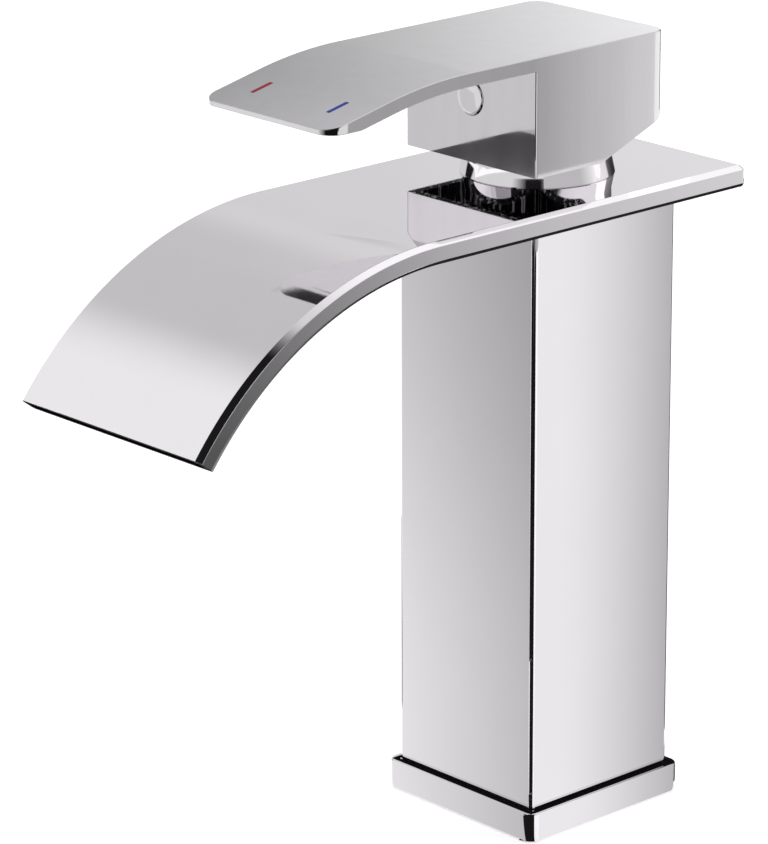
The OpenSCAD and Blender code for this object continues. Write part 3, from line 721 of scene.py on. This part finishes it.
def lever_under(y):
    """Height of the lever's underside, which runs flat close to the tip."""
    return max(droop(LEVER_T, y), TIP_Z0)


def back_edge():
    """The block's rounded back edge in plan."""
    return arc((HANDLE_HALF - BACK_EDGE_R, BACK_CORNER_Y), BACK_EDGE_R, 0, 90, 20)


def lever_plan():
    """(half width, y) along one side of the lever's plan, from the tip to the back."""
    side = arc((HANDLE_HALF - TIP_CORNER_R, TIP_CORNER_Y), TIP_CORNER_R, -90, 0, 12)
    side += [(HANDLE_HALF, y) for y in steps_between(TIP_CORNER_Y, STRAIGHT_FROM, 40)[1:]]
    return side + back_edge()


def lever_ring(gap, height):
    """One ring round the lever's plan, moved in by gap, at the heights given by a function."""
    side = lever_plan()
    outline = side + [(-x, y) for x, y in reversed(side)]
    return [(x, y, height(y)) for x, y in inset(outline, gap)]


def strip_caps(name, rings):
    """A loft whose end rings are filled with strips across, from side to side."""
    size = len(rings[0])
    points = [p for ring in rings for p in ring]
    faces = skin(size, len(rings))
    for first in (0, len(points) - size):
        for i in range(size // 2 - 1):
            faces.append((first + i, first + i + 1, first + size - 2 - i, first + size - 1 - i))
    return mesh_piece(name, points, faces)


def lever_slab():
    """The lever and the roof of the block: one slab that droops towards its tip."""
    rings = []
    for gap, rise in fillet_steps(LEVER_UNDER_R, 4):
        rings.append(lever_ring(gap, lambda y, rise=rise: lever_under(y) + rise))
    for gap, drop in reversed(fillet_steps(LEVER_EDGE_R, 5)):
        rings.append(lever_ring(gap, lambda y, drop=drop: droop(0, y) - drop))
    return strip_caps("handle_casting", rings)


def block_shell():
    """The block under the slab, cut off below by its sloping underside."""
    front = arc((HANDLE_HALF - FRONT_EDGE_R, FRONT_EDGE_R - BLOCK_FRONT), FRONT_EDGE_R, -90, 0, 8)
    side = front + back_edge()
    outline = side + [(-x, y) for x, y in reversed(side)]
    block = prism("block", outline, HANDLE_Z0, ROOF_Z + PAST)
    past = 5 * PAST
    slope = math.radians(BLOCK_SLOPE)
    reach = SLOPE_BLEND_R * math.tan(slope / 2)
    blend = arc((SLOPE_Y - reach, HANDLE_Z0 + SLOPE_BLEND_R), SLOPE_BLEND_R, -90,
                BLOCK_SLOPE - 90, 16)
    far = BLOCK_BACK + past
    below = HANDLE_Z0 - past
    end_z = HANDLE_Z0 + (far - SLOPE_Y) * math.tan(slope)
    under = blend + [(far, end_z), (far, below), (blend[0][0], below)]
    wide = HANDLE_HALF + past
    rings = [[(x, y, z) for y, z in under] for x in (-wide, wide)]
    return carve(block, loft("slope", rings))


def plug_axis_rod(name, radius, start, end):
    """A rod along the plug's axis, between two distances in front of the column's axis."""
    return place(rod(name, radius, start, end), towards_front(0, 0, PLUG_Z))


def handle_cavity():
    """The hollow inside the block, round the hub and the screw's boss."""
    half = HANDLE_HALF - HANDLE_WALL
    outline = round_rectangle(-half, half, HANDLE_WALL - BLOCK_FRONT, BLOCK_BACK - HANDLE_WALL,
                              CAVITY_CORNER_R, CAVITY_CORNER_R)
    cavity = prism("cavity", outline, HANDLE_Z0 - PAST, ROOF_Z)
    h = HUB_W / 2
    carve(cavity, prism("hub", rectangle(-h, h, -h, h), HUB_Z0, ROOF_Z + PAST))
    return carve(cavity, plug_axis_rod("boss", PLUG_BOSS_R, 0, BLOCK_FRONT))


def mark_matrix(side):
    """Where a mark's bar lies in the lever's drooping face."""
    y = LEVER_TIP + MARK_TIP
    at = Matrix.Translation(Vector((side * MARK_X, y, droop(0, y))) * MM)
    return at @ Matrix.Rotation(math.radians(DROOP_ANGLE), 4, "X")


def mark_outline(grow):
    """A mark's outline in its own plane, made larger all round by grow."""
    w = MARK_W / 2 + grow
    return round_rectangle(-w, w, -grow, MARK_L + grow, w / 2, w / 2, 4)


def in_hollow(face):
    """Whether a face of the handle is in its hollow or on the block's underside, which get painted
    shade.
    """
    centre = face.center / MM
    half = HANDLE_HALF - HANDLE_WALL + SLACK
    within = abs(centre.x) < half and abs(centre.y) < half and centre.z < ROOF_Z + SLACK
    by_plug = abs(centre.x) <= PLUG_HOLE_R * 1.5
    on_front = centre.y < SLACK - BLOCK_FRONT and not by_plug
    below = face.normal.z < -0.5 and centre.y > -BLOCK_FRONT
    return (within and not on_front) or below


def build_handle():
    """Hollow block and flat lever in one casting."""
    piece = carve(lever_slab(), block_shell(), "UNION")
    carve(piece, handle_cavity())
    w = STEM_HOLE_W / 2
    stem_top = high("stem").z + STEM_HOLE_ROOM
    carve(piece, prism("stem_hole", rectangle(-w, w, -w, w), HANDLE_Z0 - PAST, stem_top))
    front = BLOCK_FRONT + PAST
    carve(piece, plug_axis_rod("screw_hole", SCREW_HOLE_R, 0, front))
    carve(piece, plug_axis_rod("plug_hole", PLUG_HOLE_R, BLOCK_FRONT - PLUG_DEPTH, front))
    for side in (-1, 1):
        slot = prism("mark_slot", mark_outline(MARK_ROOM), -MARK_T, PAST)
        carve(piece, place(slot, mark_matrix(side)))
    finish_piece(piece, "lever", "handle", HANDLE_CHROME)
    # The hollow and the underside take the near-black painted shade with its painted highlight
    # streaks.
    piece.data.materials.append(HOLLOW_PAINTED_SHADE)
    for face in piece.data.polygons:
        face.material_index = 1 if in_hollow(face) else 0
    return piece


def build_plug():
    """Round plug with a nearly flat face and a rounded rim."""
    front = BLOCK_FRONT + PLUG_STAND
    back = -high("index_plug").y
    radius = PLUG_HOLE_R - FIT
    face_r = radius - PLUG_RIM_R
    drop = PLUG_BALL_R - math.sqrt(PLUG_BALL_R ** 2 - face_r ** 2)
    end = math.degrees(math.asin(face_r / PLUG_BALL_R))
    rim = arc((face_r, front - drop - PLUG_RIM_R), PLUG_RIM_R, 0, 90 - end, 8)
    dome = arc((0, front - PLUG_BALL_R), PLUG_BALL_R, 90 - end, 90, 8)
    profile = [(TINY, back), (radius - CHAMFER, back), (radius, back + CHAMFER)]
    profile += rim + dome[1:-1] + [(TINY, front)]
    piece = place(lathe("plug_button", profile, 96), towards_front(0, 0, PLUG_Z))
    return finish_piece(piece, "lever", "index_plug", HANDLE_CHROME)


def build_mark(name, node, side, material):
    """Enamelled bar let into the lever near its tip."""
    outline = mark_outline(0)
    rings = [at_height(outline, -MARK_T), at_height(outline, -MARK_EDGE_T)]
    rings.append(at_height(inset(outline, MARK_EDGE_W), MARK_PROUD))
    piece = place(loft(name, rings), mark_matrix(side))
    return finish_piece(piece, "lever", node, material)


# Deck fixing

THREAD_PITCH = 1.25
THREAD_DEPTH = 0.65
THREAD_RUN_OUT = 0.8
NUT_CHAMFER_SLOPE = 0.6


def build_stud():
    """M8 stud with its helical thread."""
    radius = high("fixing_stud").x
    centre_y = high("fixing_stud").y - radius
    z0, z1 = low("fixing_stud").z, high("fixing_stud").z
    around, per_turn = 24, 6
    rings = []
    for z in steps_between(z0, z1, int((z1 - z0) / THREAD_PITCH * per_turn)):
        taper = max(0, min(1, (z - z0) / THREAD_RUN_OUT, (z1 - z) / THREAD_RUN_OUT))
        ring = []
        for i in range(around):
            turn = i / around
            phase = ((z - z0) / THREAD_PITCH - turn) % 1
            r = radius - THREAD_DEPTH * max(abs(2 * phase - 1), 1 - taper)
            a = 2 * math.pi * turn
            ring.append((r * math.cos(a), centre_y + r * math.sin(a), z))
        rings.append(ring)
    piece = loft("threaded_stud", rings)
    return finish_piece(piece, "faucet", "fixing_stud", STEEL, THREAD_SHARP_ANGLE)


def build_nut():
    """Hexagon nut with chamfered corners."""
    lo, hi = low("fixing_nut"), high("fixing_nut")
    centre = (lo + hi) / 2
    flats = min(hi.x - lo.x, hi.y - lo.y)
    corner = flats / math.sqrt(3)
    first = 30 if hi.y - lo.y > hi.x - lo.x else 0
    piece = prism("hexagon_nut", arc((0, 0), corner, first, first + 300, 5), lo.z, hi.z)
    drop = (corner - flats / 2 - 2 * SLACK) * NUT_CHAMFER_SLOPE
    cone = [(TINY, lo.z), (flats / 2, lo.z), (corner, lo.z + drop),
            (corner, hi.z - drop), (flats / 2, hi.z), (TINY, hi.z)]
    carve(piece, lathe("chamfer", cone, 96), "INTERSECT")
    carve(piece, rod("bore", high("fixing_stud").x + FIT, lo.z - PAST, hi.z + PAST))
    place(piece, Matrix.Translation(Vector((centre.x, centre.y, 0)) * MM))
    return finish_piece(piece, "faucet", "fixing_nut", STEEL)


# Studio


def build_camera():
    """Puts the camera where the photograph was taken from."""
    yaw, pitch, roll = (math.radians(a) for a in (CAMERA_YAW, CAMERA_PITCH, CAMERA_ROLL))
    ahead = Vector((-math.sin(yaw) * math.cos(pitch), math.cos(yaw) * math.cos(pitch),
                    -math.sin(pitch)))
    right = Vector((math.cos(yaw), math.sin(yaw), 0))
    up = right.cross(ahead)
    x_axis = right * math.cos(roll) + up * math.sin(roll)
    y_axis = up * math.cos(roll) - right * math.sin(roll)
    data = bpy.data.cameras.new("camera")
    data.sensor_width = SENSOR
    data.sensor_fit = "AUTO"
    data.lens = FOCAL_PX / PHOTO_LONG_SIDE * SENSOR
    data.clip_start, data.clip_end = CAMERA_CLIP
    camera = bpy.data.objects.new("camera", data)
    turn = Matrix((x_axis, y_axis, -ahead)).transposed().to_4x4()
    camera.matrix_world = Matrix.Translation(Vector(CAMERA_AT) * MM) @ turn
    bpy.context.scene.collection.objects.link(camera)
    bpy.context.scene.camera = camera


def background_rays(tree):
    """1 for a ray from the camera, or from metal or glass, that meets the background."""
    path = tree.nodes.new("ShaderNodeLightPath").outputs
    seen = combine(tree, "MAXIMUM", path["Is Camera Ray"], path["Is Glossy Ray"])
    return combine(tree, "MAXIMUM", seen, path["Is Transmission Ray"])


FLOOR_HALF = 6000
FLOOR_Z = -0.05
FLOOR_COLOUR = (0.9, 0.9, 0.9)
FLOOR_ROUGHNESS = 0.9
FLOOR_GLOW = 0.6


def build_floor():
    """Plain white floor at the deck, which keeps a faint shadow of the faucet."""
    outline = rectangle(-FLOOR_HALF, FLOOR_HALF, -FLOOR_HALF, FLOOR_HALF)
    floor = mesh_piece("floor", at_height(outline, FLOOR_Z), [(0, 1, 2, 3)])
    made = bpy.data.materials.new("white_floor")
    made.use_nodes = True
    tree = made.node_tree
    shader = tree.nodes["Principled BSDF"]
    shader.inputs["Base Color"].default_value = (*FLOOR_COLOUR, 1)
    shader.inputs["Roughness"].default_value = FLOOR_ROUGHNESS
    shader.inputs["Specular IOR Level"].default_value = 0.0
    glow = tree.nodes.new("ShaderNodeEmission")
    share = combine(tree, "MULTIPLY", background_rays(tree), FLOOR_GLOW)
    link(tree, share, glow.inputs["Strength"])
    both = tree.nodes.new("ShaderNodeAddShader")
    link(tree, shader.outputs["BSDF"], both.inputs[0])
    link(tree, glow.outputs["Emission"], both.inputs[1])
    link(tree, both.outputs["Shader"], tree.nodes["Material Output"].inputs["Surface"])
    floor.data.materials.append(made)


def direction(azimuth, elevation):
    """Unit vector; azimuth 0 is +X and 90 is +Y."""
    az, el = math.radians(azimuth), math.radians(elevation)
    return Vector((math.cos(az) * math.cos(el), math.sin(az) * math.cos(el), math.sin(el)))


# Soft lights and flags far round the object: azimuth, elevation, the angles from there at which
# each one ends and is full, and what it adds to the surroundings' own strength.
SKY_STRENGTH = 0.78
SKY_LEAST = 0.012
SKY_LOBES = [
    (104, 50, 42, 12, 0.36),
    (168, 44, 26, 8, -0.15),
    (208, 34, 22, 9, 0.20),
    (284, 54, 35, 20, -0.78),
    (45, 10, 60, 20, 0.20),
    (105, 10, 24, 18, -0.75),
    (196, 12, 14, 9, -1.20),
    (322, 48, 30, 22, -0.75),
    (127, 13, 11, 4, 0.12),
    (142, 24, 20, 9, -0.055),
]


def build_world():
    """Pale surroundings with a few soft lights and dark flags in them, white to the camera."""
    world = bpy.data.worlds.new("studio")
    bpy.context.scene.world = world
    world.use_nodes = True
    tree = world.node_tree
    where = tree.nodes.new("ShaderNodeTexCoord")
    total = SKY_STRENGTH
    for azimuth, elevation, end, full, amount in SKY_LOBES:
        towards = tree.nodes.new("ShaderNodeVectorMath")
        towards.operation = "DOT_PRODUCT"
        towards.inputs[1].default_value = direction(azimuth, elevation)
        link(tree, where.outputs["Generated"], towards.inputs[0])
        lobe = tree.nodes.new("ShaderNodeMapRange")
        lobe.interpolation_type = "SMOOTHSTEP"
        lobe.inputs["From Min"].default_value = math.cos(math.radians(end))
        lobe.inputs["From Max"].default_value = math.cos(math.radians(full))
        lobe.inputs["To Max"].default_value = amount
        link(tree, towards.outputs["Value"], lobe.inputs["Value"])
        total = combine(tree, "ADD", total, lobe.outputs["Result"])
    path = tree.nodes.new("ShaderNodeLightPath")
    seen = tree.nodes.new("ShaderNodeMix")
    seen.inputs[3].default_value = 1.0
    link(tree, path.outputs["Is Camera Ray"], seen.inputs[0])
    link(tree, combine(tree, "MAXIMUM", total, SKY_LEAST), seen.inputs[2])
    link(tree, seen.outputs[0], tree.nodes["Background"].inputs["Strength"])
    tree.nodes["Background"].inputs["Color"].default_value = (1, 1, 1, 1)


def mirrored(point, normal):
    """Direction in which a polished face at the point mirrors the camera's view."""
    seen = (Vector(point) - Vector(CAMERA_AT)).normalized()
    return seen - 2 * seen.dot(Vector(normal)) * Vector(normal)


def meet(point, ray, plane_at, plane_normal):
    """Where a ray from a point meets a plane."""
    normal = Vector(plane_normal)
    along = (Vector(plane_at) - Vector(point)).dot(normal) / ray.dot(normal)
    return Vector(point) + ray * along


def card_material(name, front_only):
    """Glow from the card's own tone, fading out where its cover ends."""
    made = bpy.data.materials.new(name)
    made.use_nodes = True
    tree = made.node_tree
    tree.nodes.clear()
    tone = tree.nodes.new("ShaderNodeAttribute")
    tone.attribute_name = "tone"
    glow = tree.nodes.new("ShaderNodeEmission")
    clear = tree.nodes.new("ShaderNodeBsdfTransparent")
    mix = tree.nodes.new("ShaderNodeMixShader")
    output = tree.nodes.new("ShaderNodeOutputMaterial")
    cover = tone.outputs["Alpha"]
    if front_only:
        side = tree.nodes.new("ShaderNodeNewGeometry")
        cover = combine(tree, "SUBTRACT", cover, side.outputs["Backfacing"])
    link(tree, tone.outputs["Color"], glow.inputs["Color"])
    link(tree, cover, mix.inputs["Fac"])
    link(tree, clear.outputs["BSDF"], mix.inputs[1])
    link(tree, glow.outputs["Emission"], mix.inputs[2])
    link(tree, mix.outputs["Shader"], output.inputs["Surface"])
    return made


CARD = card_material("card", False)
CARD_ONE_SIDE = card_material("card_one_side", True)
DARK = 0.01
CARD_Z = -0.03
LOW_CARD_Z = -0.04
SIDE_PLANE_X = 62
FRONT_FACE = (0, -1, 0)
RIGHT_FACE = (1, 0, 0)
TOP_FACE = (0, 0, 1)
FRONT_AZ = 223.5
TOP_AZ = 137
NEAR_AZ = 311
BACK_AZ = 135


def card(name, grid, material=CARD):
    """A reflector or flag that only polished metal sees; the grid holds (point, tone, cover)."""
    wide = len(grid[0])
    cells = [cell for row in grid for cell in row]
    faces = [
        (k * wide + i, k * wide + i + 1, (k + 1) * wide + i + 1, (k + 1) * wide + i)
        for k in range(len(grid) - 1) for i in range(wide - 1)
    ]
    mesh = bpy.data.meshes.new(name)
    mesh.from_pydata([Vector(cell[0]) * MM for cell in cells], [], faces)
    tones = mesh.attributes.new("tone", "FLOAT_COLOR", "POINT")
    for value, cell in zip(tones.data, cells):
        value.color = (cell[1], cell[1], cell[1], cell[2])
    mesh.materials.append(material)
    made = bpy.data.objects.new(name, mesh)
    bpy.context.scene.collection.objects.link(made)
    made.visible_camera = False
    made.visible_diffuse = False
    made.visible_transmission = False
    made.visible_volume_scatter = False
    made.visible_shadow = False


def flag(name, corner, along, up, tone=DARK, material=CARD):
    """A plain card from a corner and its two sides, dark unless it has a tone."""
    corner, along, up = Vector(corner), Vector(along), Vector(up)
    card(name, [[(corner, tone, 1), (corner + along, tone, 1)],
                [(corner + up, tone, 1), (corner + along + up, tone, 1)]], material)


def mirror_card(name, plane_at, plane_normal, rows):
    """A card in a plane, with each tone where the camera's view of a point is mirrored.

    The rows hold (point, normal of the face there, tone, cover).
    """
    card(name, [
        [(meet(point, mirrored(point, face), plane_at, plane_normal), tone, cover)
         for point, face, tone, cover in row] for row in rows
    ])


def front_card():
    """Shades the column's front face: darker towards the near edge and the top."""
    foot, head = Vector((0, -26.6, 0)), Vector((0, -58, 150))
    normal = (head - foot).normalized().cross(Vector(RIGHT_FACE))
    foot_y, dim_from, dim_span = -25, 18, 140
    mean, sway = 0.845, 0.155
    rows = []
    for z in steps_between(-1, 152, 12):
        face_y = foot_y if z < BASE_TOP else -COLUMN_HALF
        fade = mean + sway * math.cos(math.pi * min(1, max(0, (z - dim_from) / dim_span)))
        rows.append([
            ((x, face_y, z), FRONT_FACE, (0.772 - 0.0066 * x) * fade, 1)
            for x in steps_between(-30, 25.5, 10)
        ])
    mirror_card("front_card", foot, normal, rows)


def right_card():
    """Shades the column's right face: from white near the front edge to grey at the back."""
    foot, head = Vector((26.6, 0, 0)), Vector((33.5, 0, 149.5))
    normal = (head - foot).normalized().cross(Vector((0, 1, 0)))
    white, fall, fall_from, fall_span, curve = 0.985, 0.40, -13, 33, 1.25
    rows = []
    for z in steps_between(-1, 151, 8):
        row = []
        for y in steps_between(-25.5, 30, 10):
            share = max(0.0, y - fall_from) / fall_span
            row.append(((COLUMN_HALF, y, z), RIGHT_FACE, white - fall * share ** curve, 1))
        rows.append(row)
    mirror_card("right_card", foot, normal, rows)


def side_card():
    """Shades the spout's right side: light at the back, nearly black at the tip."""
    tip_tone, bend_fall, dark_turn, curve = 0.10, 0.37, 52, 1.2
    rows = []
    for depth in (0, 3, 6, 10):
        row = []
        for y in steps_between(60, -SPOUT_FLAT, 8):
            tone = 0.675 + 0.0021 * y - 0.000022 * min(0, y) ** 2
            row.append(((SPOUT_HALF, y, PLATE_Z1 - depth), RIGHT_FACE, tone, 1))
        for turn in steps_between(0, 60, 12)[1:]:
            tone = tip_tone + bend_fall * max(0, 1 - turn / dark_turn) ** curve
            row.append((round_bend(SPOUT_HALF, depth, turn), RIGHT_FACE, tone, 1))
        rows.append(row)
    mirror_card("side_card", (SIDE_PLANE_X, 0, 0), RIGHT_FACE, rows)


def handle_side_card():
    """Shades the block's right side: darker towards the front."""
    rows = [
        [((HANDLE_HALF, y, z), RIGHT_FACE, 0.875 + 0.0123 * max(y, -24), 1)
         for y in steps_between(TIP_CORNER_Y, BACK_CORNER_Y, 12)]
        for z in (164, 172, 180, 193)
    ]
    mirror_card("handle_side_card", (SIDE_PLANE_X, 0, 0), RIGHT_FACE, rows)


def lever_card():
    """Lights the flat of the lever: brightest at the back, fading towards the droop."""
    normal = direction(TOP_AZ, 0)
    distance, ends_at, soft = 60, -62, 20
    rows = [
        [((x, y, HANDLE_Z1), TOP_FACE, 1.005 + 0.0059 * y + 0.0052 * x,
          min(1, max(0, (y - ends_at) / soft)))
         for y in steps_between(24, ends_at, 12)]
        for x in steps_between(-24, 24, 6)
    ]
    mirror_card("lever_card", normal * distance, normal, rows)


def block_front_card():
    """Shades the block's front face; the far card's dark and light serve the plate's image."""
    normal = direction(FRONT_AZ, 0)
    near, far = 230, 600
    block_tone, dark, light = 0.96, 0.12, 1.28
    rows = [
        [((x, -BLOCK_FRONT, z), FRONT_FACE, block_tone, 1) for x in (-40, 26)]
        for z in (150, 192)
    ]
    mirror_card("block_front_card", normal * near, normal, rows)
    along = Vector((-normal.y, normal.x, 0))
    card("far_card", [
        [(normal * far + along * side + Vector((0, 0, z)), tone, 1) for side in (-40, 80)]
        for z, tone in ((235, dark), (311.5, dark), (312.5, light), (370, light))
    ])


def under_card():
    """Keeps the rounded edge under the spout's right side dark, back to front."""
    gap, tone = 1.2, 0.02
    depth = PLATE_Z1 - PLATE_Z0 + gap
    ends = (SPOUT_BACK + 4, 6 - SPOUT_FLAT)
    grid = []
    for flat_x, bend_x in ((26.5, 26.5), (36.0, 34.0)):
        row = [((flat_x, y, PLATE_Z1 - depth), tone, 1) for y in ends]
        for turn in steps_between(0, BEND_ANGLE, 16)[1:]:
            row.append((round_bend(bend_x, depth, turn), tone + 0.0001 * turn ** 2, 1))
        grid.append(row)
    card("under_card", grid)


def tip_card():
    """Greys the spout's end face."""
    flag("tip_card", (-225, -75, CARD_Z), (150, 0, 0), (0, 75, 0), 0.05)


def near_flags():
    """Dark flags round the near corner, which the column's and the base's near edges mirror."""
    corner = Vector((COLUMN_HALF, -COLUMN_HALF, 0))
    reach, height, end = 120, 121, 343
    around = [direction(az, 0) for az in steps_between(238, end, 7)]
    card("near_wall", [
        [(corner + way * reach + Vector((0, 0, z)), DARK, 1) for way in around]
        for z in (LOW_CARD_Z, height)
    ])
    for name, start, rings in (("near_ground", 234, (3.2, 28)), ("far_ground", 257, (28, reach))):
        around = [direction(az, 0) for az in steps_between(start, end, 6)]
        card(name, [
            [(corner + way * far + Vector((0, 0, CARD_Z)), DARK, 1) for way in around]
            for far in rings
        ])


def bonnet_flag():
    """Dark flag with soft sides, which darkens the middle of the bonnet."""
    near = direction(NEAR_AZ, 0) * 130
    side = Vector((-near.y, near.x, 0)).normalized()
    full, end = 22, 75
    columns = [(-end, 0), (-full, 1), (full, 1), (end, 0)]
    card("bonnet_flag", [
        [(near + side * at + Vector((0, 0, z)), DARK, cover) for at, cover in columns]
        for z in (165, 235)
    ])


def arc_card(name, centre, reach, columns, heights, tone):
    """An upright card bent round a corner, seen only from inside; columns hold (turn, cover)."""
    card(name, [
        [(Vector(centre) + direction(az, 0) * reach + Vector((0, 0, z)), tone, cover)
         for az, cover in reversed(columns)] for z in heights
    ], CARD_ONE_SIDE)


def corner_cards():
    """Cards close to rounded corners: dark at the lever's tip, light at the block's back."""
    tip = (HANDLE_HALF - TIP_CORNER_R, TIP_CORNER_Y, 0)
    dark = [(251, 0), (270, 0.5), (290, 1), (308, 1), (327, 1), (346, 1)]
    arc_card("tip_corner_card", tip, TIP_CORNER_R + 6, dark, (174, 186), DARK)
    back = (HANDLE_HALF - BACK_EDGE_R, BACK_CORNER_Y, 0)
    light = [(az, 1) for az in (35, 48, 61, 74, 86)]
    arc_card("back_corner_card", back, BACK_EDGE_R + 12, light, (166, 190), 1.45)


def ledge_flag():
    """Darkens the ledge round the column; it is seen only from below."""
    level, width, tone = BASE_TOP + 0.2, 1.4, 0.005
    grid = []
    for half in (COLUMN_HALF, COLUMN_HALF + width):
        corners = [(half, -half), (half, half), (-half, half), (-half, -half), (half, -half)]
        grid.append([(Vector((x, y, level)), tone, 1) for x, y in corners])
    card("ledge_flag", grid, CARD_ONE_SIDE)


def droop_card():
    """Shades the drooping part of the lever: darkest on its left."""
    plane_x = -26
    places = [(turn, -LEVER_FLAT - DROOP_R * math.sin(math.radians(turn)))
              for turn in steps_between(0, DROOP_ANGLE, 6)]
    places += [(DROOP_ANGLE, y) for y in (-72, -78, -86)]
    rows = []
    for x in steps_between(-24, 24, 8):
        row = []
        for turn, y in places:
            a = math.radians(turn)
            tone = (0.69 + 0.0041 * x - 0.0092 * (turn - 4)) * (1.0 + 0.009 * turn)
            row.append(((x, y, droop(0, y)), (0, -math.sin(a), math.cos(a)), tone, 1))
        rows.append(row)
    mirror_card("droop_card", (plane_x, 0, 0), RIGHT_FACE, rows)


def back_flags():
    """Dark flags behind the faucet, which draw its far silhouettes."""
    flag("base_back_flag", (27, 30, CARD_Z), (-32, 0, 0), (0, 22, 0))
    flag("rear_flag", (38, 62, LOW_CARD_Z), (-66, 0, 0), (0, 0, 148))
    flag("block_back_flag", (19, 28, 170), (-9, 0, 0), (0, 0, 20))
    normal = direction(BACK_AZ, 0)
    along = Vector((-normal.y, normal.x, 0))
    far = normal * 120
    flag("far_back_flag", far - along * 66 + Vector((0, 0, 98)), along * 56, (0, 0, 66))
    flag("lever_back_flag", far - along * 10 + Vector((0, 0, 125)), along * 68, (0, 0, 26))


def build_cards():
    """Reflectors and flags round the object, which only polished metal sees."""
    front_card()
    right_card()
    side_card()
    handle_side_card()
    lever_card()
    block_front_card()
    near_flags()
    bonnet_flag()
    corner_cards()
    ledge_flag()
    droop_card()
    flag("plug_flag", (26, -35, 164), (-17, 0, 0), (0, 0, 22), DARK, CARD_ONE_SIDE)
    back_flags()
    under_card()
    tip_card()


# Making

build_camera()
build_world()
build_floor()
build_cards()
dress_nodes()
build_base()
build_column()
build_spout_bottom()
build_spout_top()
build_bonnet()
build_handle()
build_plug()
build_mark("hot_bar", "hot_mark", -1, RED_ENAMEL)
build_mark("cold_bar", "cold_mark", 1, BLUE_ENAMEL)
build_stud()
build_nut()

bpy.context.scene.view_settings.view_transform = "Standard"
